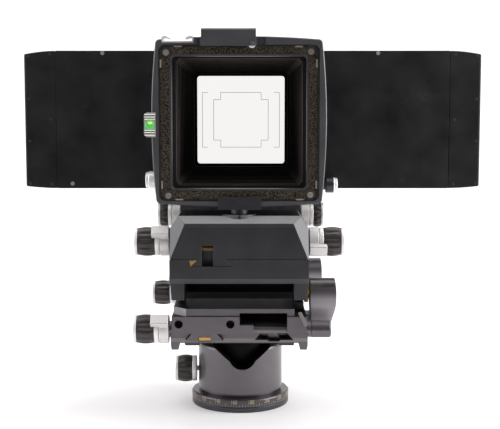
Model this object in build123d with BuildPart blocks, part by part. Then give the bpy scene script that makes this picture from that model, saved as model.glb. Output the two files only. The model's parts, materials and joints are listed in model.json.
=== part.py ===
from build123d import *
import os
from math import sin, cos, asin, pi, sqrt, hypot, radians

# Medium format view camera on a ball head, in millimetres.
# The origin is the tripod socket in the middle of the base. +X is to the right seen from
# the lens side, +Y runs from the lens to the film, and +Z is up.

# Fits
RUN_GAP = 0.05
GAP = 0.3

# Ball head
BASE_R = 46.0
BASE_TOP = 4.8
RING_TOP = 12.6
HOUSING_R = 39.7
HOUSING_FOOT = 15.5
HOUSING_TOP = 61.0
HOUSING_ROUND = 6.0
BALL_Z = 52.0
BALL_R = 22.8
BALL_FLAT = 68.5
SPIGOT_R = 14.0
SPIGOT_TOP = 18.0
TRIPOD_R = 4.76
TRIPOD_DEPTH = 14.0
BUSH_R = 9.0
NOTCH_X = 2.4
NOTCH_R = 13.0
NOTCH_LOW = 38.9
NOTCH_SHOULDER = 46.8
NOTCH_TOP_W = 31.0
CLAMP_Z = 31.5
CLAMP_SHAFT_R = 2.2
CLAMP_KNOB_X = -41.5
SHOE_R = 6.0

# Bench: a lower rail on the clamp plate, and a sliding upper rail with two dovetail grooves
BENCH_HALF = 99.0
BENCH_W = 59.4
BENCH_TOP = 86.2
PLATE_BOTTOM = 77.0
LEG_BOTTOM = 71.0
LEG_IN = 51.2
GROOVE_X = 30.0
GROOVE_DEPTH = 6.0
GROOVE_TOP_W = 23.0
GROOVE_BOTTOM_W = 33.0
LOWER_HALF = 80.0
LOWER_W = 49.8
CHANNEL_W = 35.0
CHANNEL_ROOF = 73.4
RACK_W = 10.0

# Standards: each stands over its own tilt plane, the front one at -83 and the rear at +83
PLANE_Y = 83.0
AXIS_Z = 267.5
FACE_OUT = 20.0
BACK_OUT = -31.0
CARRIAGE_OUT = 22.0
CARRIAGE_TOP = 101.4
CARRIAGE_W = 58.0
ROD_R = 3.6
ROD_X_LEFT = -52.0
ROD_X_MID = -7.6
ROD_Z = 94.9
ROD_DEPTH = 20.0
TUNNEL_X0 = 0.3
TUNNEL_X1 = 41.3
TUNNEL_STEP_X = 12.4
TUNNEL_STEP_Z = 94.0
TUNNEL_TOP = 104.3
TUNNEL_BACK = -22.0
SLEEVE_R = 7.0
SLIDE_TOP = 108.0
SLIDE_W = 47.5
DECK_FACE = 45.6
DECK_CORNER = 12.0
WING_W = 57.0
WING_OUT = -12.0
POST_X = 52.6
POST_R = 4.0
POST_OUT = -24.0
CHEEK_IN = 47.3
CHEEK_TAPER = 1.6
CHEEK_FOOT = 115.0
BRIDGE_Z = 134.0
LIP_Z = 129.4
BACK_WALL_OUT = -26.0
RISER_W = 59.8
SEAM_R = 118.6
TONGUE_X = -24.0
TONGUE_TOP_W = 25.8
TONGUE_BOTTOM_W = 35.9
TONGUE_H = 5.6
RIB_X = -27.0
RIB_W = 9.2
RIB_OUT = 10.0
BLOCK_TOP = 181.6
BLOCK_BROW_D = 10.0
BLOCK_BROW_TOP = 187.4
BLOCK_BACK_TOP = 188.8
BLOCK_EDGE_LOW = 176.6
BLOCK_EDGE_IN = 8.4
BLOCK_TOP_W = 46.5
BLOCK_W = 59.8
PIVOT_TOP = 188.4
DISC_R = 14.6
NECK_R = 7.0
REAR_LIFT = 8.8

# Gears, by module and number of teeth
FOCUS_MODULE = 0.8
FOCUS_TEETH = 15
FOCUS_Z = 88.8
FOCUS_OUT = 11.0
TILT_MODULE = 0.6
TILT_TEETH = 12
TILT_RING_TEETH = 360
TILT_OUT = -5.5
RISE_MODULE = 0.8
RISE_TEETH = 16
RISE_Z = 118.0
RISE_OUT = -18.0
CHEEK_FLAT = 57.9
RISE_X0 = 58.4
RISE_X1 = 61.6
RISE_RACK_LOW = 106.0

# Knobs, levers and the rise drive
SHAFT_R = 2.2
KNOB_R = 12.6
LEVER_X = 61.0
LEVER_T = 8.0
RING_T = 4.0
GRIP_T = 15.5
REAR_GRIP_T = 8.0
CAP_T = 3.0
FLUTES = 12
LEVER_R = 12.5
LEVER_W = 10.0
LEVER_REACH = 7.0
LEVER_TIP = 17.6
FOCUS_TAB_TURN = 40.0
LEFT_TAB_TURN = 42.0
RIGHT_TAB_TURN = -24.0
KNOB_FACE = -(LEVER_X + LEVER_T + GAP)
POST_TOP = 138.0
POST_BORE = 28.0
PIN_R = 3.8
PIN_H = 5.0
BLOCK_CORNER_D = 13.0
TILT_PINION_ARM = TILT_MODULE * (TILT_RING_TEETH - TILT_TEETH) / 2
TILT_SHAFT_Z = AXIS_Z - sqrt(TILT_PINION_ARM**2 - TILT_OUT**2)
RACK_BACK_R = TILT_MODULE * TILT_RING_TEETH / 2 + 2.4
DRUM_R = 19.5
DRUM_Z = 109.5
DRUM_X0 = 62.4
DRUM_X1 = 85.2
REAR_DRUM_X1 = 81.0
DRUM_CROWN = 0.7
DRUM_FOOT = 90.6
DRUM_FOOT_X0 = 63.4
DRUM_FOOT_IN = 4.6
DRUM_LUG_TOP = 98.0
HUB_R = 7.4
HUB_X0 = 62.2
HUB_X1 = 79.5

# Front frame
FRAME_MID_W = 75.0
FRAME_CORNER_W = 71.0
FRAME_LOW = 195.0
FRAME_HIGH = 340.6
FRAME_BOW = 3.0
FRAME_OUT = 10.0
FRAME_IN = -6.0
SEAT_W = 68.8
SEAT_LOW = 199.8
SEAT_HIGH = 333.4
SEAT_DEPTH = 3.0
OPEN_W = 58.0
OPEN_LOW = 210.3
OPEN_HIGH = 323.9
LOCK_X0 = -32.2
LOCK_X1 = 14.4

# Bellows
PLEATS = 13
BELLOWS_FRONT_W = 62.0
BELLOWS_REAR_W = 55.0
PLEAT_DEPTH = 6.0
BELLOWS_T = 1.2

# Rear frame, guide panel and sliding back
REAR_FRAME_LOW = 198.2
REAR_FRAME_HIGH = 331.2
REAR_FRAME_W = 64.0
REAR_OPEN = 47.0
REAR_FRONT_Y = 71.0
PANEL_Y = 87.0
PANEL_T = 4.5
PANEL_LOW = 197.8
PANEL_HIGH = 337.4
PANEL_X0 = -187.7
PANEL_X1 = 211.7
CAP_X0 = -220.0
CAP_X1 = 244.0
RAIL_H = 5.0
RAIL_DEPTH = 13.0
BACK_X0 = -58.0
BACK_X1 = 200.0
FILM_X = 128.0
WINDOW = 44.65
BACK_KNOB_Y = 77.0
BACK_KNOB_T = 12.2
BACK_KNOBS = ((207.0, 84.0, 8.9), (202.0, 85.6, 8.0))
BACK_HUB_R = 5.0
BACK_SCREW_R = 2.5
BACK_SCREW_DEPTH = 10.0
GLASS_HALF = 50.0
GLASS_Y = 96.0

FRONT = -1
REAR = 1

BLACK = (0.17, 0.17, 0.18)
GREY = (0.36, 0.35, 0.37)
SILVER = (0.78, 0.77, 0.76)
BRASS = (0.78, 0.6, 0.27)
RUBBER = (0.24, 0.2, 0.2)
WHITE = (0.95, 0.95, 0.94)
GREEN = (0.3, 0.8, 0.35)

os.makedirs("parts", exist_ok=True)


def save(part, name, colour):
    part.label = name
    part.color = Color(*colour)
    export_step(part, f"parts/{name}.step")


def facing(y):
    """Sketch plane at depth y seen from the lens side: local x is X and local y is Z."""
    return Plane(origin=(0, y, 0), x_dir=(1, 0, 0), z_dir=(0, -1, 0))


def sideways(x):
    """Sketch plane at x seen from the right: local x is Y and local y is Z."""
    return Plane(origin=(x, 0, 0), x_dir=(0, 1, 0), z_dir=(1, 0, 0))


def out_y(side, out):
    """World Y of a point that lies a distance outward of the standard's tilt plane."""
    return side * (PLANE_Y + out)


def far_y(side, out_a, out_b):
    return max(out_y(side, out_a), out_y(side, out_b))


def polygon(*points, mode=Mode.ADD):
    """Closed polygon face in the current sketch."""
    Polygon(*points, align=None, mode=mode)


def rectangle(x0, x1, z0, z1, mode=Mode.ADD):
    """Rectangle in the current sketch, by its edges."""
    polygon((x0, z0), (x1, z0), (x1, z1), (x0, z1), mode=mode)


def dovetail(centre, top_z, top_w, bottom_z, bottom_w, mode=Mode.ADD):
    """Dovetail section in the current sketch."""
    polygon(
        (centre - top_w / 2, top_z),
        (centre + top_w / 2, top_z),
        (centre + bottom_w / 2, bottom_z),
        (centre - bottom_w / 2, bottom_z),
        mode=mode,
    )


def slab(x0, x1, y0, y1, z0, z1, mode=Mode.ADD):
    """Rectangular block between stated edges, in the current part."""
    with BuildSketch(Plane.XY.offset(z0)) as plan:
        rectangle(x0, x1, min(y0, y1), max(y0, y1))
    extrude(plan.sketch, amount=z1 - z0, mode=mode)


def cross_bore(x0, x1, y, z, radius, mode=Mode.SUBTRACT):
    """Round bar or bore along X, in the current part."""
    with BuildSketch(sideways(x0)) as section:
        with Locations((y, z)):
            Circle(radius)
    extrude(section.sketch, amount=x1 - x0, mode=mode)


def lathe(x, y, z, direction, stations):
    """Turned piece on an axis along X: stations are (distance outward, radius)."""
    plane = Plane(origin=(x, y, z), x_dir=(direction, 0, 0), z_dir=(0, -direction, 0))
    with BuildSketch(plane) as profile:
        polygon(*stations)
    revolve(profile.sketch, axis=Axis((x, y, z), (1, 0, 0)))


def pinion_points(teeth, module, y, z, gap_turn=-pi / 2):
    """Outline of a pinion with straight-flanked teeth and a tooth gap facing gap_turn."""
    pitch = module * teeth / 2
    tip = pitch + 0.75 * module
    root = pitch - 1.2 * module
    points = []
    for tooth in range(teeth):
        middle = (tooth + 0.5) / teeth
        for offset, radius in ((-0.30, root), (-0.13, tip), (0.13, tip), (0.30, root)):
            turn = 2 * pi * (middle + offset / teeth) + gap_turn
            points.append((y + radius * cos(turn), z + radius * sin(turn)))
    return points


def rack_points(middle, teeth, module, pitch, back):
    """Outline of a straight rack with a tooth at its middle: along, then height."""
    step = pi * module
    first = middle - step * (teeth // 2)
    points = [(first - step / 2, back), (first - step / 2, pitch - 1.2 * module)]
    for tooth in range(teeth):
        centre = first + tooth * step
        for offset, height in ((-0.32, -1.2), (-0.13, 0.75), (0.13, 0.75), (0.32, -1.2)):
            points.append((centre + offset * step, pitch + height * module))
    last = first + (teeth - 0.5) * step
    return points + [(last, pitch - 1.2 * module), (last, back)]


# Ball head: base, tripod bush and degree ring
with BuildPart() as base_plate:
    with BuildSketch():
        Circle(BASE_R)
        Circle(BUSH_R, mode=Mode.SUBTRACT)
    extrude(amount=BASE_TOP)
    with BuildSketch(Plane.XY.offset(BASE_TOP)):
        Circle(SPIGOT_R)
        Circle(BUSH_R, mode=Mode.SUBTRACT)
    extrude(amount=SPIGOT_TOP - BASE_TOP)
    rim = base_plate.edges().filter_by(GeomType.CIRCLE).group_by(SortBy.RADIUS)[-1]
    chamfer(rim.sort_by(Axis.Z)[0], 0.8)
save(base_plate.part, "base_plate", BLACK)

with BuildPart() as tripod_bush:
    with BuildSketch():
        Circle(BUSH_R)
        Circle(TRIPOD_R, mode=Mode.SUBTRACT)
    extrude(amount=TRIPOD_DEPTH)
save(tripod_bush.part, "tripod_bush", BRASS)

with BuildPart() as pan_scale_ring:
    with BuildSketch(Plane.XY.offset(BASE_TOP)):
        Circle(BASE_R)
        Circle(SPIGOT_R + 8.0, mode=Mode.SUBTRACT)
    extrude(amount=RING_TOP - BASE_TOP)
    top_rim = pan_scale_ring.edges().filter_by(GeomType.CIRCLE).group_by(SortBy.RADIUS)[-1]
    chamfer(top_rim.sort_by(Axis.Z)[-1], 1.2)
save(pan_scale_ring.part, "pan_scale_ring", GREY)

# Ball housing: a turned cup with a spherical socket, a notch that the stem drops into,
# the bore of the clamp screw and the pocket of its shoe
with BuildPart() as ball_housing:
    low = RING_TOP + GAP
    foot_r = HOUSING_R - 2.5
    bore = SPIGOT_R + RUN_GAP
    with BuildSketch(Plane.XZ):
        with BuildLine():
            Polyline(
                (HOUSING_R - HOUSING_ROUND, HOUSING_TOP),
                (0, HOUSING_TOP),
                (0, SPIGOT_TOP + 1.0),
                (bore, SPIGOT_TOP + 1.0),
                (bore, low),
                (foot_r, low),
                (foot_r, HOUSING_FOOT),
                (HOUSING_R, HOUSING_FOOT),
                (HOUSING_R, HOUSING_TOP - HOUSING_ROUND),
            )
            RadiusArc(
                (HOUSING_R, HOUSING_TOP - HOUSING_ROUND),
                (HOUSING_R - HOUSING_ROUND, HOUSING_TOP),
                -HOUSING_ROUND,
            )
        make_face()
    revolve(axis=Axis.Z)
    with Locations((0, 0, BALL_Z)):
        Sphere(BALL_R + GAP, mode=Mode.SUBTRACT)
    with BuildSketch(facing(0)):
        with Locations((NOTCH_X, NOTCH_LOW + NOTCH_R)):
            Circle(NOTCH_R)
        polygon(
            (NOTCH_X - NOTCH_R + 0.8, NOTCH_SHOULDER),
            (NOTCH_X + NOTCH_R - 0.8, NOTCH_SHOULDER),
            (NOTCH_X + NOTCH_TOP_W, HOUSING_TOP + 1.0),
            (NOTCH_X - NOTCH_TOP_W, HOUSING_TOP + 1.0),
        )
    extrude(amount=HOUSING_R + 5.0, mode=Mode.SUBTRACT)
    cross_bore(-HOUSING_R - 1.0, -HOUSING_R + 12.0, 0, CLAMP_Z, CLAMP_SHAFT_R + RUN_GAP)
    cross_bore(-HOUSING_R + 11.0, -10.0, 0, CLAMP_Z, SHOE_R + RUN_GAP)
save(ball_housing.part, "ball_housing", GREY)

with BuildPart() as clamp_shoe:
    cross_bore(-HOUSING_R + 14.0, -12.0, 0, CLAMP_Z, SHOE_R, mode=Mode.ADD)
    with Locations((0, 0, BALL_Z)):
        Sphere(BALL_R + GAP, mode=Mode.SUBTRACT)
save(clamp_shoe.part, "clamp_shoe", BRASS)

with BuildPart() as ball:
    with Locations((0, 0, BALL_Z)):
        Sphere(BALL_R)
    split(bisect_by=Plane.XY.offset(BALL_FLAT), keep=Keep.BOTTOM)
save(ball.part, "ball", BLACK)


def knob_stations(radius, bore_r, grip_t):
    """Section of a turned knob: inner ring, core under the grip, and outer cap."""
    grip_end = RING_T + grip_t
    return (
        (0, bore_r),
        (0, radius - 1.2),
        (0.8, radius - 0.4),
        (RING_T, radius - 0.4),
        (RING_T, radius - 2.2),
        (grip_end, radius - 2.2),
        (grip_end, radius - 0.5),
        (grip_end + CAP_T - 0.8, radius - 0.5),
        (grip_end + CAP_T, radius - 1.3),
        (grip_end + CAP_T, 0),
        (grip_end, 0),
        (grip_end, bore_r),
    )


def grip_sleeve(x, y, z, direction, radius, grip_t):
    """Fluted grip sleeve on the knob's core."""
    start = x if direction > 0 else x - grip_t
    with BuildSketch(sideways(start)) as section:
        with Locations((y, z)):
            Circle(radius)
            Circle(radius - 2.2, mode=Mode.SUBTRACT)
            with PolarLocations(radius + 1.6, FLUTES):
                Circle(2.1, mode=Mode.SUBTRACT)
    extrude(section.sketch, amount=grip_t)


CLAMP_GRIP_T = 13.5
with BuildPart() as ball_clamp_knob:
    lathe(CLAMP_KNOB_X, 0, CLAMP_Z, -1, knob_stations(KNOB_R, CLAMP_SHAFT_R, CLAMP_GRIP_T))
    cross_bore(
        CLAMP_KNOB_X - RING_T - CLAMP_GRIP_T, -HOUSING_R + 14.0, 0, CLAMP_Z, CLAMP_SHAFT_R, mode=Mode.ADD
    )
save(ball_clamp_knob.part, "ball_clamp_knob", SILVER)

with BuildPart() as ball_clamp_grip:
    grip_sleeve(CLAMP_KNOB_X - RING_T, 0, CLAMP_Z, -1, KNOB_R, CLAMP_GRIP_T)
save(ball_clamp_grip.part, "ball_clamp_grip", RUBBER)

# Clamp plate on top of the ball, and the lower rail that it carries
with BuildPart() as rail_clamp:
    slab(-CHANNEL_W, CHANNEL_W, -36.0, 36.0, BALL_FLAT + RUN_GAP, CHANNEL_ROOF)
    fillet(rail_clamp.edges().filter_by(Axis.Z), 6.0)
    chamfer(rail_clamp.faces().sort_by(Axis.Z)[0].edges(), 0.8)
save(rail_clamp.part, "rail_clamp", BLACK)

with BuildPart() as lower_bench:
    with BuildSketch(facing(LOWER_HALF)):
        polygon(
            (-LOWER_W, PLATE_BOTTOM - GAP),
            (LOWER_W, PLATE_BOTTOM - GAP),
            (LOWER_W - 2.0, LEG_BOTTOM),
            (CHANNEL_W, LEG_BOTTOM),
            (CHANNEL_W, CHANNEL_ROOF),
            (-CHANNEL_W, CHANNEL_ROOF),
            (-CHANNEL_W, LEG_BOTTOM),
            (2.0 - LOWER_W, LEG_BOTTOM),
        )
    extrude(amount=2 * LOWER_HALF)
save(lower_bench.part, "lower_bench", BLACK)

# Upper rail: flanged plate with a dovetail groove and a rack slot for each standard
RACK_FLOOR = 79.0
RACK_PITCH = FOCUS_Z - FOCUS_MODULE * FOCUS_TEETH / 2
with BuildPart() as upper_bench:
    with BuildSketch(facing(BENCH_HALF)):
        polygon(
            (-BENCH_W, BENCH_TOP),
            (BENCH_W, BENCH_TOP),
            (BENCH_W, LEG_BOTTOM + 4.0),
            (BENCH_W - 0.8, LEG_BOTTOM),
            (LEG_IN + 1.6, LEG_BOTTOM),
            (LEG_IN, PLATE_BOTTOM),
            (-LEG_IN, PLATE_BOTTOM),
            (-LEG_IN - 1.6, LEG_BOTTOM),
            (-BENCH_W + 0.8, LEG_BOTTOM),
            (-BENCH_W, LEG_BOTTOM + 4.0),
        )
        for groove in (-GROOVE_X, GROOVE_X):
            floor = BENCH_TOP - GROOVE_DEPTH
            dovetail(groove, BENCH_TOP, GROOVE_TOP_W, floor, GROOVE_BOTTOM_W, mode=Mode.SUBTRACT)
            rectangle(groove - RACK_W / 2, groove + RACK_W / 2, RACK_FLOOR, floor, mode=Mode.SUBTRACT)
    extrude(amount=2 * BENCH_HALF)
save(upper_bench.part, "upper_bench", GREY)

# Focus racks: the front one lies in the left groove, the rear one in the right groove
FOCUS_STEP = pi * FOCUS_MODULE
RACK_TEETH = 39
with BuildPart() as bench_racks:
    for side in (FRONT, REAR):
        groove = side * GROOVE_X
        middle = out_y(side, FOCUS_OUT) - side * FOCUS_STEP * (RACK_TEETH // 2 - 1)
        with BuildSketch(sideways(groove - RACK_W / 2)):
            polygon(*rack_points(middle, RACK_TEETH, FOCUS_MODULE, RACK_PITCH, RACK_FLOOR))
        extrude(amount=RACK_W)
save(bench_racks.part, "bench_racks", BRASS)


def tunnel_block(side, near_x, low, high, mode=Mode.SUBTRACT):
    """Part of the tunnel that each carriage has over the other standard's groove."""
    ends = sorted((-side * near_x, -side * TUNNEL_X1))
    face, back = out_y(side, CARRIAGE_OUT + 1.0), out_y(side, TUNNEL_BACK)
    slab(ends[0], ends[1], face, back, low, high, mode=mode)


def carriage(side):
    """Focus carriage: tongue in one groove, tunnel over the other, shaft sleeves, rod bores."""
    groove = side * GROOVE_X
    shaft_y = out_y(side, FOCUS_OUT)
    low = BENCH_TOP + GAP
    tongue_low = BENCH_TOP - GROOVE_DEPTH + GAP
    play = 2 * GAP + GAP * (GROOVE_BOTTOM_W - GROOVE_TOP_W) / GROOVE_DEPTH
    pocket_r = FOCUS_MODULE * (FOCUS_TEETH / 2 + 1) + GAP
    bore_r = SHAFT_R + RUN_GAP
    edge = BENCH_W + GAP
    with BuildPart() as sleeve:
        cross_bore(-LEVER_X + RUN_GAP, -TUNNEL_STEP_X, shaft_y, FOCUS_Z, SLEEVE_R, mode=Mode.ADD)
        cross_bore(TUNNEL_STEP_X, HUB_X0, shaft_y, FOCUS_Z, SLEEVE_R, mode=Mode.ADD)
        slab(-edge, edge, shaft_y - HUB_R, shaft_y + HUB_R, FOCUS_Z - HUB_R, low, mode=Mode.SUBTRACT)
    with BuildPart() as body:
        with BuildSketch(facing(far_y(side, CARRIAGE_OUT, BACK_OUT))):
            rectangle(-CARRIAGE_W, CARRIAGE_W, low, CARRIAGE_TOP)
            dovetail(groove, low, GROOVE_TOP_W - play, tongue_low, GROOVE_BOTTOM_W - play)
            rectangle(
                groove - RACK_W / 2 - GAP,
                groove + RACK_W / 2 + GAP,
                tongue_low - 1.0,
                RACK_PITCH + FOCUS_MODULE + GAP,
                mode=Mode.SUBTRACT,
            )
        extrude(amount=CARRIAGE_OUT - BACK_OUT)
        tunnel_block(side, TUNNEL_X0, TUNNEL_STEP_Z, CARRIAGE_TOP + 1.0)
        tunnel_block(side, TUNNEL_STEP_X, low - 1.0, TUNNEL_STEP_Z + 0.5)
        add(sleeve.part)
        pocket = RACK_W / 2 + GAP
        cross_bore(groove - pocket, groove + pocket, shaft_y, FOCUS_Z, pocket_r)
        cross_bore(-LEVER_X, HUB_X0, shaft_y, FOCUS_Z, bore_r)
        slab(-edge, edge, shaft_y - bore_r, shaft_y + bore_r, low - 1.0, FOCUS_Z, mode=Mode.SUBTRACT)
        with BuildSketch(facing(out_y(side, CARRIAGE_OUT))):
            with Locations((-side * ROD_X_LEFT, ROD_Z), (-side * ROD_X_MID, ROD_Z)):
                Circle(ROD_R)
        extrude(amount=ROD_DEPTH * side, mode=Mode.SUBTRACT)
    return body.part


def focus_shaft(side):
    """Focus shaft with its pinion cut in one piece."""
    groove = side * GROOVE_X
    y = out_y(side, FOCUS_OUT)
    with BuildPart() as shaft:
        cross_bore(KNOB_FACE - RING_T - GRIP_T, HUB_X1 - 3.0, y, FOCUS_Z, SHAFT_R, mode=Mode.ADD)
        with BuildSketch(sideways(groove - RACK_W / 2 + 0.5)):
            polygon(*pinion_points(FOCUS_TEETH, FOCUS_MODULE, y, FOCUS_Z))
        extrude(amount=RACK_W - 1.0)
    return shaft.part


def focus_knobs(side):
    """Left knob and right hub of the focus shaft, both fixed on it."""
    y = out_y(side, FOCUS_OUT)
    with BuildPart() as knobs:
        lathe(KNOB_FACE, y, FOCUS_Z, -1, knob_stations(KNOB_R, SHAFT_R, GRIP_T))
        hub_t = HUB_X1 - HUB_X0
        stations = (
            (GAP, SHAFT_R), (GAP, HUB_R), (hub_t - 1.2, HUB_R), (hub_t, HUB_R - 1.2),
            (hub_t, 0), (hub_t - 3.0, 0), (hub_t - 3.0, SHAFT_R),
        )
        lathe(HUB_X0, y, FOCUS_Z, 1, stations)
    return knobs.part


def focus_grip(side):
    with BuildPart() as grip:
        grip_sleeve(KNOB_FACE - RING_T, out_y(side, FOCUS_OUT), FOCUS_Z, -1, KNOB_R, GRIP_T)
    return grip.part


def lock_lever(side, hand, y, z, tab_turn):
    """Clamp lever: a collar round the shaft and a tab that reaches out beside the knob."""
    x = hand * LEVER_X
    inner_x = x + hand * LEVER_T
    tab_x = inner_x + hand * LEVER_REACH
    turn = radians(tab_turn)
    corners = []
    for reach, across in ((4.0, -1), (LEVER_TIP, -1), (LEVER_TIP, 1), (4.0, 1)):
        out = reach * cos(turn) - across * LEVER_W / 2 * sin(turn)
        up = reach * sin(turn) + across * LEVER_W / 2 * cos(turn)
        corners.append((y + side * out, z + up))
    with BuildPart() as lever:
        cross_bore(min(x, inner_x), max(x, inner_x), y, z, LEVER_R, mode=Mode.ADD)
        with BuildSketch(sideways(min(x, tab_x))):
            polygon(*corners)
        extrude(amount=LEVER_T + LEVER_REACH)
        cross_bore(
            min(inner_x, inner_x + hand * 20.0), max(inner_x, inner_x + hand * 20.0),
            y, z, KNOB_R + 0.5,
        )
        long_edges = lever.edges().filter_by(Axis.X)
        tips = long_edges.sort_by(lambda edge: hypot(edge.center().Y - y, edge.center().Z - z))
        fillet(tips[-2:], 1.6)
        cross_bore(min(x, inner_x) - 1.0, max(x, inner_x) + 1.0, y, z, SHAFT_R + RUN_GAP)
    return lever.part


def post_base(side):
    """Fixed upper deck of the carriage, with the two guide posts of the rise."""
    posts = ((-POST_X, out_y(side, POST_OUT)), (POST_X, out_y(side, POST_OUT)))
    corners = (
        (-DECK_FACE, FACE_OUT),
        (SLIDE_W, FACE_OUT),
        (SLIDE_W, WING_OUT),
        (WING_W, WING_OUT),
        (WING_W, BACK_OUT),
        (-WING_W, BACK_OUT),
        (-WING_W, FACE_OUT - DECK_CORNER),
    )
    with BuildPart() as base:
        with BuildSketch(Plane.XY.offset(CARRIAGE_TOP)):
            polygon(*[(x, out_y(side, out)) for x, out in corners])
        extrude(amount=SLIDE_TOP - CARRIAGE_TOP)
        tunnel_block(side, TUNNEL_X0, CARRIAGE_TOP - 1.0, TUNNEL_TOP)
        with BuildSketch(Plane.XY.offset(CARRIAGE_TOP)):
            with Locations(*posts):
                Circle(POST_R)
        extrude(amount=POST_TOP - CARRIAGE_TOP)
        with BuildSketch(Plane.XY.offset(SLIDE_TOP)):
            with Locations(*posts):
                Circle(POST_R + 0.4)
        extrude(amount=1.0)
    return base.part


def drive_housing(side):
    """Round-topped housing of the rise drive, on a lug at the side of the carriage."""
    y = out_y(side, RISE_OUT)
    outer = REAR_DRUM_X1 if side == REAR else DRUM_X1
    with BuildPart() as housing:
        with BuildSketch(sideways(DRUM_X0)):
            with Locations((y, DRUM_Z)):
                Circle(DRUM_R)
            polygon((y - 19.3, 107.0), (y + 19.3, 107.0), (y + 14.0, DRUM_FOOT), (y - 14.0, DRUM_FOOT))
            rectangle(y - 30.0, y + 30.0, DRUM_Z - 30.0, DRUM_FOOT, mode=Mode.SUBTRACT)
        extrude(amount=outer - DRUM_X0)
        with BuildSketch(facing(y + 40.0)):
            with BuildLine():
                Polyline(
                    (DRUM_X0, DRUM_Z),
                    (DRUM_X0, 130.0),
                    (outer - DRUM_CROWN, 130.0),
                )
                ThreePointArc((outer - DRUM_CROWN, 130.0), (outer, 118.0), (outer - DRUM_CROWN, 106.0))
                Polyline(
                    (outer - DRUM_CROWN, 106.0),
                    (outer - DRUM_FOOT_IN, DRUM_FOOT),
                    (DRUM_FOOT_X0, DRUM_FOOT),
                    (DRUM_X0, DRUM_Z),
                )
            make_face()
        extrude(amount=80.0, mode=Mode.INTERSECT)
        slab(CARRIAGE_W, DRUM_FOOT_X0 + 2.0, y - 10.0, y + 10.0, DRUM_FOOT, DRUM_LUG_TOP)
        cross_bore(DRUM_X0, DRUM_X0 + 8.0, y, RISE_Z, SHAFT_R + RUN_GAP)
    return housing.part


def rise_pinion(side):
    """Pinion of the rise drive on its short shaft, in mesh with the rack on the riser."""
    y = out_y(side, RISE_OUT)
    mesh = pi if side == REAR else 0.0
    with BuildPart() as pinion:
        with BuildSketch(sideways(RISE_X0)):
            polygon(*pinion_points(RISE_TEETH, RISE_MODULE, y, RISE_Z, gap_turn=mesh))
        extrude(amount=RISE_X1 - RISE_X0)
        cross_bore(RISE_X1, DRUM_X0 + 7.0, y, RISE_Z, SHAFT_R, mode=Mode.ADD)
    return pinion.part


def tongue_section(axis_z, play):
    """Section of the curved tongue, with play all round for its groove."""
    above = 2.0
    slope = (TONGUE_BOTTOM_W - TONGUE_TOP_W) / TONGUE_H
    seam_z = axis_z - SEAM_R
    dovetail(
        TONGUE_X,
        seam_z + above,
        TONGUE_TOP_W - slope * above + 2 * play,
        seam_z - TONGUE_H - play,
        TONGUE_BOTTOM_W + 2 * play,
    )


def riser(side, lift):
    """Riser: a bridge with two cheeks on the posts and the curved cradle of the tilt."""
    y = out_y(side, 0)
    axis_z = AXIS_Z + lift
    foot = CHEEK_FOOT + lift
    with BuildPart() as rib:
        with BuildSketch(facing(y)):
            rectangle(
                RIB_X - RIB_W / 2, RIB_X + RIB_W / 2,
                axis_z - SEAM_R - TONGUE_H - 2.0, axis_z - RACK_BACK_R,
            )
        revolve(axis=Axis((0, y, axis_z), (1, 0, 0)))
        slab(
            RIB_X - RIB_W, RIB_X + RIB_W, out_y(side, RIB_OUT), out_y(side, BACK_OUT),
            foot, axis_z - 80.0, mode=Mode.INTERSECT,
        )
    with BuildPart() as body:
        with BuildSketch(facing(far_y(side, FACE_OUT, BACK_OUT))):
            rectangle(-RISER_W, RISER_W, BRIDGE_Z + lift, axis_z - 110.0)
            for hand in (-1, 1):
                polygon(
                    (hand * RISER_W, BRIDGE_Z + lift),
                    (hand * CHEEK_IN, BRIDGE_Z + lift),
                    (hand * CHEEK_IN, foot),
                    (hand * (RISER_W - CHEEK_TAPER), foot),
                )
        extrude(amount=FACE_OUT - BACK_OUT)
        slab(
            -CHEEK_IN, CHEEK_IN, out_y(side, FACE_OUT - 3.0), out_y(side, FACE_OUT - 9.0),
            LIP_Z + lift, BRIDGE_Z + lift,
        )
        slab(
            -CHEEK_IN, CHEEK_IN, out_y(side, BACK_WALL_OUT), out_y(side, BACK_OUT),
            foot, BRIDGE_Z + lift,
        )
        cross_bore(-RISER_W - 1.0, RISER_W + 1.0, y, axis_z, SEAM_R)
        with BuildSketch(facing(y)):
            tongue_section(axis_z, GAP)
        revolve(axis=Axis((0, y, axis_z), (1, 0, 0)), mode=Mode.SUBTRACT)
        add(rib.part)
        slab(
            CHEEK_FLAT, RISER_W + 1.0, out_y(side, -8.0), out_y(side, BACK_OUT) - side,
            foot - 1.0, BRIDGE_Z + lift + 8.0, mode=Mode.SUBTRACT,
        )
        with BuildSketch(Plane.XY.offset(foot - 1.0)):
            with Locations((-POST_X, out_y(side, POST_OUT)), (POST_X, out_y(side, POST_OUT))):
                Circle(POST_R + RUN_GAP)
        extrude(amount=POST_BORE, mode=Mode.SUBTRACT)
    return body.part


def rise_rack(side, lift):
    """Brass rack that stands beside the right cheek and reaches down past its foot."""
    pitch = abs(RISE_OUT) + RISE_MODULE * RISE_TEETH / 2
    teeth = 15
    middle = RISE_Z + lift_in_steps(lift)
    points = []
    for along, height in rack_points(middle, teeth, RISE_MODULE, -pitch, -pitch - 5.0):
        points.append((out_y(side, height), along))
    with BuildPart() as rack:
        with BuildSketch(sideways(CHEEK_FLAT)):
            polygon(*points)
        extrude(amount=RISE_X1 - CHEEK_FLAT)
        slab(
            RISE_X0 - 1.0, RISE_X1 + 1.0, out_y(side, -20.0), out_y(side, -40.0),
            RISE_RACK_LOW + lift, BRIDGE_Z + lift + 8.0, mode=Mode.INTERSECT,
        )
    return rack.part


def lift_in_steps(lift):
    """The lift rounded to whole rack teeth, so that the pinion stays in mesh."""
    step = pi * RISE_MODULE
    return round(lift / step) * step


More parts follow.
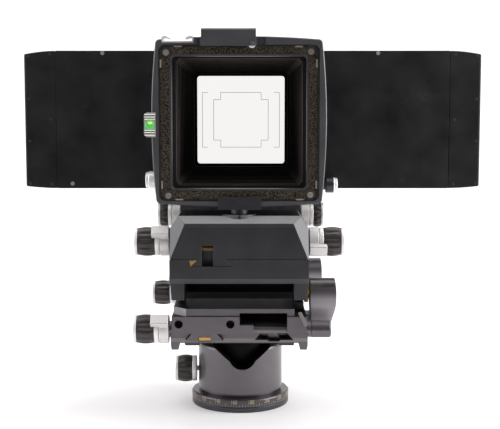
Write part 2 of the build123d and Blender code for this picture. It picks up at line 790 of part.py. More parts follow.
def tilt_rack(side, lift):
    """Internal gear sector on the rib, on the tilt axis, in mesh with the tilt pinion."""
    y = out_y(side, 0)
    axis_z = AXIS_Z + lift
    step = 2 * pi / TILT_RING_TEETH
    pitch = TILT_MODULE * TILT_RING_TEETH / 2
    inward = asin(-TILT_OUT / TILT_PINION_ARM)
    points = []
    for tooth in range(-12, 13):
        middle = inward + tooth * step
        for offset, radius in ((-0.32, 1.2), (-0.13, -0.75), (0.13, -0.75), (0.32, 1.2)):
            turn = middle + offset * step
            reach = pitch + radius * TILT_MODULE
            points.append((y - side * reach * sin(turn), axis_z - reach * cos(turn)))
    outer = []
    for turn in (inward + 12.4 * step, inward, inward - 12.4 * step):
        outer.append((y - side * RACK_BACK_R * sin(turn), axis_z - RACK_BACK_R * cos(turn)))
    with BuildPart() as rack:
        with BuildSketch(sideways(RIB_X - RIB_W / 2)):
            with BuildLine():
                Polyline(*points)
                Line(points[-1], outer[0])
                ThreePointArc(*outer)
                Line(outer[-1], points[0])
            make_face()
        extrude(amount=RIB_W)
        slab(
            RIB_X - RIB_W, RIB_X + RIB_W, out_y(side, FACE_OUT), out_y(side, BACK_OUT),
            axis_z - 130.0, axis_z - 80.0, mode=Mode.INTERSECT,
        )
    return rack.part


def tilt_block(side, lift):
    """Tilt block: curved sole with a dovetail tongue, shaft bore and the swing pivot."""
    y = out_y(side, 0)
    axis_z = AXIS_Z + lift
    top = BLOCK_TOP + lift
    shaft_y = out_y(side, TILT_OUT)
    shaft_z = TILT_SHAFT_Z + lift
    face = out_y(side, FACE_OUT)
    with BuildPart() as tongue:
        with BuildSketch(facing(y)):
            tongue_section(axis_z, 0.0)
        revolve(axis=Axis((0, y, axis_z), (1, 0, 0)))
        slab(
            -BLOCK_W, BLOCK_W, face, out_y(side, BACK_OUT), axis_z - 130.0, top - 20.0,
            mode=Mode.INTERSECT,
        )
    with BuildPart() as block:
        with BuildSketch(sideways(-BLOCK_W)):
            polygon(
                (face, axis_z - 130.0),
                (face, top),
                (face - side * BLOCK_BROW_D, BLOCK_BROW_TOP + lift),
                (out_y(side, BACK_OUT), BLOCK_BACK_TOP + lift),
                (out_y(side, BACK_OUT), axis_z - 130.0),
            )
        extrude(amount=2 * BLOCK_W)
        cross_bore(-BLOCK_W, BLOCK_W, y, axis_z, SEAM_R - GAP, mode=Mode.INTERSECT)
        with BuildSketch(facing(max(face, out_y(side, BACK_OUT)))):
            for hand in (-1, 1):
                polygon(
                    (hand * BLOCK_W, BLOCK_EDGE_LOW + lift),
                    (hand * (BLOCK_W + 5.0), BLOCK_EDGE_LOW + lift),
                    (hand * (BLOCK_W + 5.0), BLOCK_BACK_TOP + lift),
                    (hand * (BLOCK_W - BLOCK_EDGE_IN), BLOCK_BACK_TOP + lift),
                )
        extrude(amount=abs(face - out_y(side, BACK_OUT)), mode=Mode.SUBTRACT)
        for hand in (-1, 1):
            foot_corner = Vector(hand * (BLOCK_W + 0.1), face, axis_z - SEAM_R)
            top_inner = Vector(hand * BLOCK_TOP_W, face, top)
            top_back = Vector(hand * BLOCK_W, face - side * BLOCK_CORNER_D, top)
            facet = Plane(origin=foot_corner, z_dir=(top_inner - foot_corner).cross(top_back - foot_corner))
            inner = Vector(0, y, top)
            keep = Keep.TOP if facet.to_local_coords(inner).Z > 0 else Keep.BOTTOM
            split(bisect_by=facet, keep=keep)
        add(tongue.part)
        cross_bore(-LEVER_X + RUN_GAP, LEVER_X - RUN_GAP, shaft_y, shaft_z, 7.0, mode=Mode.ADD)
        with BuildSketch(facing(y)):
            rectangle(
                RIB_X - RIB_W / 2 - GAP, RIB_X + RIB_W / 2 + GAP,
                axis_z - SEAM_R - TONGUE_H - 1.0, axis_z - TILT_MODULE * TILT_RING_TEETH / 2 + 0.9,
            )
        revolve(axis=Axis((0, y, axis_z), (1, 0, 0)), mode=Mode.SUBTRACT)
        pocket = RIB_W / 2 + GAP
        cross_bore(RIB_X - pocket, RIB_X + pocket, shaft_y, shaft_z, 4.6)
        cross_bore(-LEVER_X - 1.0, LEVER_X + 1.0, shaft_y, shaft_z, SHAFT_R + RUN_GAP)
        with BuildSketch(Plane.XY.offset(top - 1.0)):
            with Locations((0, y)):
                Circle(DISC_R)
        extrude(amount=PIVOT_TOP - BLOCK_TOP + 1.0)
        with BuildSketch(Plane.XY.offset(PIVOT_TOP + lift)):
            with Locations((0, y)):
                Circle(PIN_R)
        extrude(amount=PIN_H)
    return block.part


def tilt_grip_length(side):
    """The rear knobs are shorter than the front ones."""
    return GRIP_T if side == FRONT else REAR_GRIP_T


def tilt_shaft(side, lift):
    """Tilt shaft with its pinion cut in one piece."""
    y = out_y(side, TILT_OUT)
    z = TILT_SHAFT_Z + lift
    reach = -KNOB_FACE + RING_T + tilt_grip_length(side)
    inward = asin(-TILT_OUT / TILT_PINION_ARM)
    mesh = -pi / 2 + (inward if side == FRONT else -inward)
    with BuildPart() as shaft:
        cross_bore(-reach, reach, y, z, SHAFT_R, mode=Mode.ADD)
        with BuildSketch(sideways(RIB_X - RIB_W / 2 + 0.3)):
            polygon(*pinion_points(TILT_TEETH, TILT_MODULE, y, z, gap_turn=mesh))
        extrude(amount=RIB_W - 0.6)
    return shaft.part


def tilt_knobs(side, lift):
    y = out_y(side, TILT_OUT)
    with BuildPart() as knobs:
        for hand in (-1, 1):
            stations = knob_stations(KNOB_R, SHAFT_R, tilt_grip_length(side))
            lathe(-hand * KNOB_FACE, y, TILT_SHAFT_Z + lift, hand, stations)
    return knobs.part


def tilt_grips(side, lift):
    y = out_y(side, TILT_OUT)
    z = TILT_SHAFT_Z + lift
    with BuildPart() as grips:
        for hand in (-1, 1):
            grip_sleeve(hand * (RING_T - KNOB_FACE), y, z, hand, KNOB_R, tilt_grip_length(side))
    return grips.part


for side, name, lift in ((FRONT, "front", 0.0), (REAR, "rear", REAR_LIFT)):
    tilt_y = out_y(side, TILT_OUT)
    tilt_z = TILT_SHAFT_Z + lift
    save(carriage(side), f"{name}_carriage", GREY)
    save(focus_shaft(side), f"{name}_focus_shaft", SILVER)
    save(focus_knobs(side), f"{name}_focus_knob", SILVER)
    save(focus_grip(side), f"{name}_focus_grip", RUBBER)
    focus_y = out_y(side, FOCUS_OUT)
    save(lock_lever(side, -1, focus_y, FOCUS_Z, FOCUS_TAB_TURN), f"{name}_focus_lever", SILVER)
    save(post_base(side), f"{name}_post_base", BLACK)
    save(drive_housing(side), f"{name}_drive_housing", GREY)
    save(rise_pinion(side), f"{name}_rise_pinion", BRASS)
    if side == FRONT:
        save(riser(side, lift), "front_riser", BLACK)
        save(rise_rack(side, lift), "front_rise_rack", BRASS)
    else:
        save(Compound(children=[riser(side, lift), rise_rack(side, lift)]), "rear_riser", BLACK)
    save(tilt_rack(side, lift), f"{name}_tilt_rack", BRASS)
    save(tilt_block(side, lift), f"{name}_tilt_block", BLACK)
    save(tilt_shaft(side, lift), f"{name}_tilt_shaft", SILVER)
    save(tilt_knobs(side, lift), f"{name}_tilt_knobs", SILVER)
    save(tilt_grips(side, lift), f"{name}_tilt_grips", RUBBER)
    save(lock_lever(side, -1, tilt_y, tilt_z, LEFT_TAB_TURN), f"{name}_tilt_lever_left", SILVER)
    save(lock_lever(side, 1, tilt_y, tilt_z, RIGHT_TAB_TURN), f"{name}_tilt_lever_right", SILVER)

# Front frame: bowed square with a seat for the lens board, a neck and the lower lip
FRAME_FACE = out_y(FRONT, FRAME_OUT)
FRAME_BACK = out_y(FRONT, FRAME_IN)
SHOE_X0 = -66.0
SHOE_X1 = -38.7
SHOE_SEAT = 335.0
LEVEL_X = -71.2
LEVEL_W = 10.0
LEVEL_LOW = 255.0
LEVEL_HIGH = 276.0
LOCK_PIN_R = 1.5
LOCK_PIN_H = 10.0
LOCK_PIN_X = 11.3
POCKET_X0 = -36.2
POCKET_X1 = 22.5
POCKET_D = 3.0
TAB_SPOTS = (
    (-52.0, 332.0, True), (51.0, 332.0, True), (-51.6, 201.3, True), (52.4, 201.3, True),
    (-67.0, 317.5, False), (66.4, 317.5, False), (-66.4, 214.0, False), (66.4, 214.0, False),
)
SCREW_SPOTS = ((-62.3, 326.8), (61.3, 327.5), (-61.0, 204.6), (61.3, 205.4))
LIP_X0 = -18.0
LIP_X1 = 19.0
LIP_LOW = 192.9
LIP_HIGH = 203.6


def bowed_outline(corner_w, mid_w, low, high, bow):
    """Square outline with four bowed sides, in the current sketch."""
    middle = (low + high) / 2
    with BuildLine() as outline:
        ThreePointArc((-corner_w, high - bow), (0, high), (corner_w, high - bow))
        ThreePointArc((corner_w, high - bow), (mid_w, middle), (corner_w, low + bow))
        ThreePointArc((corner_w, low + bow), (0, low), (-corner_w, low + bow))
        ThreePointArc((-corner_w, low + bow), (-mid_w, middle), (-corner_w, high - bow))
    make_face(outline.edges())


with BuildPart() as front_frame:
    with BuildSketch(facing(FRAME_BACK)):
        bowed_outline(FRAME_CORNER_W, FRAME_MID_W, FRAME_LOW, FRAME_HIGH, FRAME_BOW)
    extrude(amount=FRAME_BACK - FRAME_FACE)
    fillet(front_frame.edges().filter_by(Axis.Y), 4.0)
    chamfer(front_frame.faces().sort_by(Axis.Y)[0].edges(), 0.8)
    with BuildSketch(facing(FRAME_FACE + SEAT_DEPTH)):
        with Locations((0, (SEAT_LOW + SEAT_HIGH) / 2)):
            RectangleRounded(2 * SEAT_W, SEAT_HIGH - SEAT_LOW, 6.0)
    extrude(amount=SEAT_DEPTH + 1.0, mode=Mode.SUBTRACT)
    with BuildSketch(facing(FRAME_BACK)):
        with Locations((0, (OPEN_LOW + OPEN_HIGH) / 2)):
            RectangleRounded(2 * OPEN_W, OPEN_HIGH - OPEN_LOW, 3.0)
    extrude(amount=FRAME_BACK - FRAME_FACE, mode=Mode.SUBTRACT)
    with BuildSketch(Plane.XY.offset(PIVOT_TOP + GAP)):
        with Locations((0, -PLANE_Y)):
            Circle(NECK_R)
    extrude(amount=FRAME_LOW + 5.0 - PIVOT_TOP - GAP)
    with BuildSketch(Plane.XY.offset(PIVOT_TOP)):
        with Locations((0, -PLANE_Y)):
            Circle(PIN_R + RUN_GAP)
    extrude(amount=PIN_H + 1.0, mode=Mode.SUBTRACT)
    slab(LIP_X0, LIP_X1, FRAME_FACE - 2.5, FRAME_FACE + 0.5, LIP_LOW, LIP_HIGH)
    slab(SHOE_X0, SHOE_X1, FRAME_FACE - 1.0, FRAME_BACK + 1.0, SHOE_SEAT, FRAME_HIGH, mode=Mode.SUBTRACT)
    slab(
        -FRAME_MID_W - 1.0, LEVEL_X, FRAME_FACE - 1.0, FRAME_FACE + 10.0,
        LEVEL_LOW, LEVEL_HIGH, mode=Mode.SUBTRACT,
    )
    slab(
        POCKET_X0, POCKET_X1, FRAME_FACE - 1.0, FRAME_FACE + POCKET_D,
        SEAT_HIGH - 0.5, FRAME_HIGH + 1.0, mode=Mode.SUBTRACT,
    )
    with BuildSketch(Plane.XY.offset(FRAME_HIGH)):
        with Locations((LOCK_X0 + 8.0, FRAME_FACE + 8.0), (LOCK_X1 - 8.0, FRAME_FACE + 8.0)):
            Circle(LOCK_PIN_R + RUN_GAP)
    extrude(amount=-LOCK_PIN_H - 0.6, mode=Mode.SUBTRACT)
save(front_frame.part, "front_frame", BLACK)

# Foam light seal, small metal seat tabs and the screws of the seat
with BuildPart() as foam_seal:
    with BuildSketch(facing(FRAME_FACE + SEAT_DEPTH)):
        with Locations((0, (SEAT_LOW + SEAT_HIGH) / 2)):
            RectangleRounded(2 * SEAT_W - 3.0, SEAT_HIGH - SEAT_LOW - 3.0, 5.0)
        with Locations((0, (OPEN_LOW + OPEN_HIGH) / 2)):
            RectangleRounded(2 * OPEN_W + 3.0, OPEN_HIGH - OPEN_LOW + 3.0, 4.0, mode=Mode.SUBTRACT)
        with Locations(*SCREW_SPOTS):
            Circle(4.6, mode=Mode.SUBTRACT)
        for x, z, along_x in TAB_SPOTS:
            half_x, half_z = (3.7, 1.2) if along_x else (1.2, 3.9)
            rectangle(x - half_x, x + half_x, z - half_z, z + half_z, mode=Mode.SUBTRACT)
    extrude(amount=1.4)
save(foam_seal.part, "foam_seal", BLACK)

with BuildPart() as seat_tabs:
    with BuildSketch(facing(FRAME_FACE + SEAT_DEPTH)):
        for x, z, along_x in TAB_SPOTS:
            half_x, half_z = (3.2, 0.7) if along_x else (0.7, 3.4)
            rectangle(x - half_x, x + half_x, z - half_z, z + half_z)
    extrude(amount=1.8)
save(seat_tabs.part, "seat_tabs", SILVER)

with BuildPart() as seat_screws:
    with BuildSketch(facing(FRAME_FACE + SEAT_DEPTH)):
        with Locations(*SCREW_SPOTS):
            Circle(2.6)
    extrude(amount=1.2)
    with BuildSketch(facing(FRAME_FACE + SEAT_DEPTH - 0.6)):
        with Locations(*SCREW_SPOTS):
            Rectangle(4.2, 0.7)
    extrude(amount=1.0, mode=Mode.SUBTRACT)
save(seat_screws.part, "seat_screws", SILVER)

# Sliding lock bar over the top edge of the lens board
with BuildPart() as lens_lock:
    slab(LOCK_X0, LOCK_X1, FRAME_FACE - 4.2, FRAME_FACE - GAP, SEAT_HIGH - 1.2, 346.9)
    slab(LOCK_X0, LOCK_X1, FRAME_FACE - 4.2, FRAME_BACK - 2.0, FRAME_HIGH + GAP, 346.9)
    chamfer(lens_lock.edges().filter_by(Axis.X).group_by(Axis.Z)[-1], 1.2)
    with BuildSketch(facing(FRAME_FACE - 4.2)):
        with Locations((LOCK_PIN_X, SEAT_HIGH + 1.0)):
            Circle(1.3)
    extrude(amount=1.6)
    with BuildSketch(Plane.XY.offset(FRAME_HIGH + 1.0)):
        with Locations((LOCK_X0 + 8.0, FRAME_FACE + 8.0), (LOCK_X1 - 8.0, FRAME_FACE + 8.0)):
            Circle(LOCK_PIN_R)
    extrude(amount=-LOCK_PIN_H - 1.0)
save(lens_lock.part, "lens_lock", BLACK)

# Accessory shoe: a pressed base with curled spring lips
with BuildPart() as accessory_shoe:
    with BuildSketch(facing(FRAME_BACK - 0.5)):
        rectangle(SHOE_X0, SHOE_X1, SHOE_SEAT, SHOE_SEAT + 1.5)
        for edge, hand in ((SHOE_X0, 1), (SHOE_X1, -1)):
            rectangle(min(edge, edge + 1.4 * hand), max(edge, edge + 1.4 * hand), SHOE_SEAT, SHOE_SEAT + 5.2)
            polygon(
                (edge, SHOE_SEAT + 4.0), (edge, SHOE_SEAT + 5.2), (edge + 3.2 * hand, SHOE_SEAT + 6.1),
                (edge + 7.6 * hand, SHOE_SEAT + 3.9), (edge + 7.0 * hand, SHOE_SEAT + 3.2),
                (edge + 3.2 * hand, SHOE_SEAT + 4.6),
            )
    extrude(amount=FRAME_BACK - FRAME_FACE - 1.0)
save(accessory_shoe.part, "accessory_shoe", SILVER)

# Spirit level on the left side of the frame: a clear block and the vial inside it
with BuildPart() as level_block:
    slab(LEVEL_X - LEVEL_W, LEVEL_X, FRAME_FACE - 1.2, FRAME_FACE + 10.0, LEVEL_LOW, LEVEL_HIGH)
    chamfer(level_block.edges().filter_by(Axis.Y).group_by(Axis.X)[0], 2.4)
    with BuildSketch(facing(FRAME_FACE + 6.0)):
        with Locations((LEVEL_X - LEVEL_W / 2, (LEVEL_LOW + LEVEL_HIGH) / 2)):
            RectangleRounded(5.8, 8.6, 2.6)
    extrude(amount=10.0, mode=Mode.SUBTRACT)

with BuildPart() as level_vial:
    with BuildSketch(facing(FRAME_FACE + 6.0)):
        with Locations((LEVEL_X - LEVEL_W / 2, (LEVEL_LOW + LEVEL_HIGH) / 2)):
            RectangleRounded(5.8, 8.6, 2.6)
    extrude(amount=6.6)
spirit_level = Compound(children=[level_block.part, level_vial.part])
save(spirit_level, "spirit_level", GREEN)

# Bellows: a pleated square tube from the front frame to the rear frame
BELLOWS_Z = AXIS_Z
BELLOWS_Y0 = FRAME_BACK + 0.4
BELLOWS_Y1 = REAR_FRONT_Y - 0.4


def pleat_stations():
    """Depth and half width of each fold line, out and in by turns."""
    count = 2 * PLEATS
    stations = []
    for index in range(count + 1):
        share = index / count
        half = BELLOWS_FRONT_W + (BELLOWS_REAR_W - BELLOWS_FRONT_W) * share
        if index % 2:
            half -= PLEAT_DEPTH
        stations.append((BELLOWS_Y0 + (BELLOWS_Y1 - BELLOWS_Y0) * share, half))
    return stations


with BuildPart() as bellows:
    for inset, mode in ((0.0, Mode.ADD), (BELLOWS_T, Mode.SUBTRACT)):
        folds = []
        for y, half in pleat_stations():
            with BuildSketch(facing(y), mode=Mode.PRIVATE) as fold:
                with Locations((0, BELLOWS_Z)):
                    Rectangle(2 * (half - inset), 2 * (half - inset))
            folds.append(fold.sketch.face())
        loft(folds, ruled=True, mode=mode)
save(bellows.part, "bellows", BLACK)

# Rear frame: carries the bellows in front and the guide panel behind
REAR_FRAME_BACK = PANEL_Y
with BuildPart() as rear_frame:
    neck_low = PIVOT_TOP + REAR_LIFT + GAP
    with BuildSketch(facing(REAR_FRAME_BACK)):
        with Locations((0, (REAR_FRAME_LOW + REAR_FRAME_HIGH) / 2)):
            RectangleRounded(2 * REAR_FRAME_W, REAR_FRAME_HIGH - REAR_FRAME_LOW, 3.0)
        with Locations((0, AXIS_Z)):
            RectangleRounded(2 * REAR_OPEN, 2 * REAR_OPEN, 3.0, mode=Mode.SUBTRACT)
    extrude(amount=REAR_FRAME_BACK - REAR_FRONT_Y)
    chamfer(rear_frame.faces().sort_by(Axis.Y)[0].outer_wire().edges(), 1.2)
    with BuildSketch(Plane.XY.offset(neck_low)):
        with Locations((0, PLANE_Y)):
            Circle(NECK_R)
    extrude(amount=REAR_FRAME_LOW + 5.0 - neck_low)
    with BuildSketch(Plane.XY.offset(neck_low - GAP)):
        with Locations((0, PLANE_Y)):
            Circle(PIN_R + RUN_GAP)
    extrude(amount=PIN_H + 1.0, mode=Mode.SUBTRACT)
    for hand, (z, _, _) in zip((-1, 1), BACK_KNOBS):
        tip = hand * (REAR_FRAME_W - BACK_SCREW_DEPTH - 1.0)
        edge = hand * (REAR_FRAME_W + 1.0)
        cross_bore(min(tip, edge), max(tip, edge), BACK_KNOB_Y, z, BACK_SCREW_R + RUN_GAP)
    with BuildSketch(facing(REAR_FRAME_BACK)):
        rectangle(-NECK_R - 1.0, NECK_R + 1.0, neck_low - 1.0, REAR_FRAME_LOW + 6.0)
    extrude(amount=-20.0, mode=Mode.SUBTRACT)
save(rear_frame.part, "rear_frame", BLACK)

# Guide panel of the sliding back: a long plate with a rail along each long edge
PANEL_BACK = PANEL_Y + PANEL_T
RAIL_BACK = PANEL_BACK + RAIL_DEPTH
with BuildPart() as back_panel:
    with BuildSketch(sideways(PANEL_X0)):
        rectangle(PANEL_Y, PANEL_BACK, PANEL_LOW, PANEL_HIGH)
        for edge, hand in ((PANEL_LOW, 1), (PANEL_HIGH, -1)):
            inner = edge + hand * RAIL_H
            lip = edge + hand * (RAIL_H + 3.0)
            rectangle(PANEL_BACK - 0.5, RAIL_BACK, min(edge, inner), max(edge, inner))
            rectangle(RAIL_BACK - 2.5, RAIL_BACK, min(edge, lip), max(edge, lip))
    extrude(amount=PANEL_X1 - PANEL_X0)
    with BuildSketch(facing(PANEL_BACK + 0.1)):
        with Locations((0, AXIS_Z)):
            RectangleRounded(2 * REAR_OPEN + 2.0, 2 * REAR_OPEN + 2.0, 3.0)
    extrude(amount=PANEL_T + 0.2, mode=Mode.SUBTRACT)
save(back_panel.part, "back_panel", BLACK)

# Hollow shaped caps that close the ends of the guide
CAP_WALL = 3.0
with BuildPart() as panel_end_caps:
    middle = (PANEL_LOW + PANEL_HIGH) / 2
    for inner_x, outer_x in ((PANEL_X0, CAP_X0), (PANEL_X1, CAP_X1)):
        with BuildSketch(facing(RAIL_BACK)) as cap_face:
            with BuildLine() as cap_line:
                Line((inner_x, PANEL_LOW), (inner_x, PANEL_HIGH))
                ThreePointArc(
                    (inner_x, PANEL_HIGH),
                    ((inner_x + outer_x) / 2, PANEL_HIGH - 1.0),
                    (outer_x, PANEL_HIGH - 3.6),
                )
                Line((outer_x, PANEL_HIGH - 3.6), (outer_x, PANEL_LOW + 2.2))
                ThreePointArc(
                    (outer_x, PANEL_LOW + 2.2),
                    ((inner_x + outer_x) / 2, PANEL_LOW + 0.6),
                    (inner_x, PANEL_LOW),
                )
            make_face()
        extrude(amount=RAIL_BACK - PANEL_Y)
    outer_edges = panel_end_caps.edges().filter_by(Axis.Z)
    fillet(outer_edges.group_by(Axis.X)[0] + outer_edges.group_by(Axis.X)[-1], 2.5)
    for inner_x, outer_x in ((PANEL_X0, CAP_X0 + CAP_WALL), (PANEL_X1, CAP_X1 - CAP_WALL)):
        slab(
            min(inner_x, outer_x), max(inner_x, outer_x), PANEL_Y + CAP_WALL, RAIL_BACK - CAP_WALL,
            PANEL_LOW + RAIL_H, PANEL_HIGH - RAIL_H - CAP_WALL, mode=Mode.SUBTRACT,
        )
save(panel_end_caps.part, "panel_end_caps", BLACK)

# Sliding carriage: the ground glass at one end and the seat of a film back at the other
BACK_Y0 = PANEL_BACK + GAP
BACK_Y1 = RAIL_BACK - 2.5 - GAP
BACK_LOW = PANEL_LOW + RAIL_H + GAP
BACK_HIGH = PANEL_HIGH - RAIL_H - GAP
FILM_W = 46.0
with BuildPart() as back_carriage:
    slab(BACK_X0, BACK_X1, BACK_Y0, BACK_Y1, BACK_LOW, BACK_HIGH)
    hood_low = PANEL_LOW + RAIL_H + 3.0 + GAP
    hood_high = PANEL_HIGH - RAIL_H - 3.0 - GAP
    slab(BACK_X0, BACK_X1, BACK_Y1 - 0.5, RAIL_BACK + 4.0, hood_low, hood_high)
    with BuildSketch(facing(RAIL_BACK + 5.0)):
        with Locations((0, AXIS_Z)):
            RectangleRounded(2 * WINDOW, 2 * WINDOW, 3.0)
        with Locations((FILM_X, AXIS_Z)):
            RectangleRounded(2 * FILM_W, 2 * FILM_W, 3.0)
    extrude(amount=40.0, mode=Mode.SUBTRACT)
    with BuildSketch(facing(RAIL_BACK + 5.0)):
        with Locations((0, AXIS_Z)):
            Rectangle(2 * GLASS_HALF, 2 * GLASS_HALF)
        with Locations((FILM_X, AXIS_Z)):
            Rectangle(2 * GLASS_HALF + 12.0, 2 * GLASS_HALF + 12.0)
    extrude(amount=5.0 + RAIL_BACK - GLASS_Y, mode=Mode.SUBTRACT)
    chamfer(back_carriage.faces().sort_by(Axis.Y)[-1].outer_wire().edges(), 1.0)

with BuildPart() as glass_frame:
    with BuildSketch(facing(RAIL_BACK + 3.0)):
        with Locations((0, AXIS_Z)):
            Rectangle(2 * GLASS_HALF, 2 * GLASS_HALF)
            RectangleRounded(2 * WINDOW - 4.0, 2 * WINDOW - 4.0, 3.0, mode=Mode.SUBTRACT)
    extrude(amount=RAIL_BACK + 3.0 - GLASS_Y - 2.0)
save(Compound(children=[back_carriage.part, glass_frame.part]), "back_carriage", BLACK)

with BuildPart() as ground_glass:
    with BuildSketch(facing(GLASS_Y + 2.0)):
        with Locations((0, AXIS_Z)):
            Rectangle(2 * GLASS_HALF, 2 * GLASS_HALF)
    extrude(amount=2.0)
save(ground_glass.part, "ground_glass", WHITE)

# Clamp screws at the sides of the rear frame, each with a turned knob on a hub
for hand, side_name, (z, knob_x, radius) in zip((-1, 1), ("left", "right"), BACK_KNOBS):
    hub_x = REAR_FRAME_W + GAP
    knob_start = knob_x - hub_x
    knob_end = knob_start + BACK_KNOB_T
    with BuildPart() as back_lock_knob:
        stations = (
            (0, 0),
            (0, BACK_HUB_R),
            (knob_start, BACK_HUB_R),
            (knob_start, radius - 0.8),
            (knob_start + 0.8, radius),
            (knob_end - 3.6, radius),
            (knob_end - 3.0, radius - 0.9),
            (knob_end - 0.8, radius - 0.9),
            (knob_end, radius - 1.7),
            (knob_end, 0),
        )
        lathe(hand * hub_x, BACK_KNOB_Y, z, hand, stations)
        tip = hand * (REAR_FRAME_W - BACK_SCREW_DEPTH)
        start = hand * (hub_x + 1.0)
        cross_bore(min(tip, start), max(tip, start), BACK_KNOB_Y, z, BACK_SCREW_R, mode=Mode.ADD)
    save(back_lock_knob.part, f"back_lock_knob_{side_name}", BLACK)
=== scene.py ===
import json
import math

import bmesh
import bpy
from mathutils import Matrix, Vector


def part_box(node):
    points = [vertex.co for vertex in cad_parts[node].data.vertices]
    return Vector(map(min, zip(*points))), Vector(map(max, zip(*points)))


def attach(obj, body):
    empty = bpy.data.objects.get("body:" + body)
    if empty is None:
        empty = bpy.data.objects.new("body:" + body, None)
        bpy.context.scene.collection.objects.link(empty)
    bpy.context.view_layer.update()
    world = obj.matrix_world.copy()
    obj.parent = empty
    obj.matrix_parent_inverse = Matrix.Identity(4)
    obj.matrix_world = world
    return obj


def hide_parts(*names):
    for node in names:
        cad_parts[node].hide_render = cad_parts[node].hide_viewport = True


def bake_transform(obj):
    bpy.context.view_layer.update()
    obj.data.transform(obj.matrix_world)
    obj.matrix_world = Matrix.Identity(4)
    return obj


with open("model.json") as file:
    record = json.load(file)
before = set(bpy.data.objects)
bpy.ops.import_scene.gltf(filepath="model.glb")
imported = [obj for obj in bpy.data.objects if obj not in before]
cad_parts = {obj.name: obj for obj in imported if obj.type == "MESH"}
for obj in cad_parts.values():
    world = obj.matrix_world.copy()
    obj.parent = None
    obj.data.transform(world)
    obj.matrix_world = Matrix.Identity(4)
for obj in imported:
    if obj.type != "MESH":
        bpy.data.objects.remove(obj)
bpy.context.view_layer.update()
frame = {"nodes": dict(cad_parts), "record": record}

# ---------------------------------------------------------------------------------------
# Base of the ball head: a turned aluminium disc, black anodised and satin, with a brass
# bush pressed into it for the tripod screw.

BODY_OF = {
    node: body for body, nodes in frame["record"]["behaviour"]["bodies"].items() for node in nodes
}


def link(tree, source, target):
    tree.links.new(source, target)


def add_node(tree, kind, values=None, **settings):
    """New node with these settings, and with these values on its sockets."""
    made = tree.nodes.new(kind)
    for name, setting in settings.items():
        setattr(made, name, setting)
    for socket, value in (values or {}).items():
        made.inputs[socket].default_value = value
    return made


def skin_group():
    """Grain, blotches and scuffs of an anodised or blasted skin, from object coordinates."""
    group = bpy.data.node_groups.new("anodised_skin", "ShaderNodeTree")
    for name, value in (
        ("Grain per metre", 3500.0), ("Blotch per metre", 60.0), ("Streak", 1.0), ("Contrast", 1.0),
        ("Scuff per metre", 420.0),
    ):
        socket = group.interface.new_socket(name, in_out="INPUT", socket_type="NodeSocketFloat")
        socket.default_value = value
    for name in ("Grain", "Blotch", "Scuff"):
        group.interface.new_socket(name, in_out="OUTPUT", socket_type="NodeSocketFloat")
    inside = group.nodes.new("NodeGroupInput")
    outside = group.nodes.new("NodeGroupOutput")
    place = group.nodes.new("ShaderNodeTexCoord")
    grain = add_node(group, "ShaderNodeTexNoise", {"Detail": 3.0})
    link(group, place.outputs["Object"], grain.inputs["Vector"])
    link(group, inside.outputs["Grain per metre"], grain.inputs["Scale"])
    link(group, grain.outputs["Fac"], outside.inputs["Grain"])
    blotch = add_node(group, "ShaderNodeTexNoise", {"Detail": 4.0})
    link(group, place.outputs["Object"], blotch.inputs["Vector"])
    link(group, inside.outputs["Blotch per metre"], blotch.inputs["Scale"])
    centred = add_node(group, "ShaderNodeMath", {1: 0.5}, operation="SUBTRACT")
    link(group, blotch.outputs["Fac"], centred.inputs[0])
    spread = add_node(
        group, "ShaderNodeMath", {2: 0.5}, operation="MULTIPLY_ADD", use_clamp=True
    )
    link(group, centred.outputs["Value"], spread.inputs[0])
    link(group, inside.outputs["Contrast"], spread.inputs[1])
    link(group, spread.outputs["Value"], outside.inputs["Blotch"])
    stretch = add_node(group, "ShaderNodeCombineXYZ", {"Y": 1.0, "Z": 1.0})
    link(group, inside.outputs["Streak"], stretch.inputs["X"])
    pull = add_node(group, "ShaderNodeVectorMath", operation="MULTIPLY")
    link(group, place.outputs["Object"], pull.inputs[0])
    link(group, stretch.outputs["Vector"], pull.inputs[1])
    scuff = add_node(group, "ShaderNodeTexNoise", {"Detail": 6.0, "Roughness": 0.7})
    link(group, inside.outputs["Scuff per metre"], scuff.inputs["Scale"])
    link(group, pull.outputs["Vector"], scuff.inputs["Vector"])
    sharpen = add_node(group, "ShaderNodeMapRange", {"From Min": 0.62, "From Max": 0.74})
    link(group, scuff.outputs["Fac"], sharpen.inputs["Value"])
    link(group, sharpen.outputs["Result"], outside.inputs["Scuff"])
    return group


ANODISED_SKIN = skin_group()


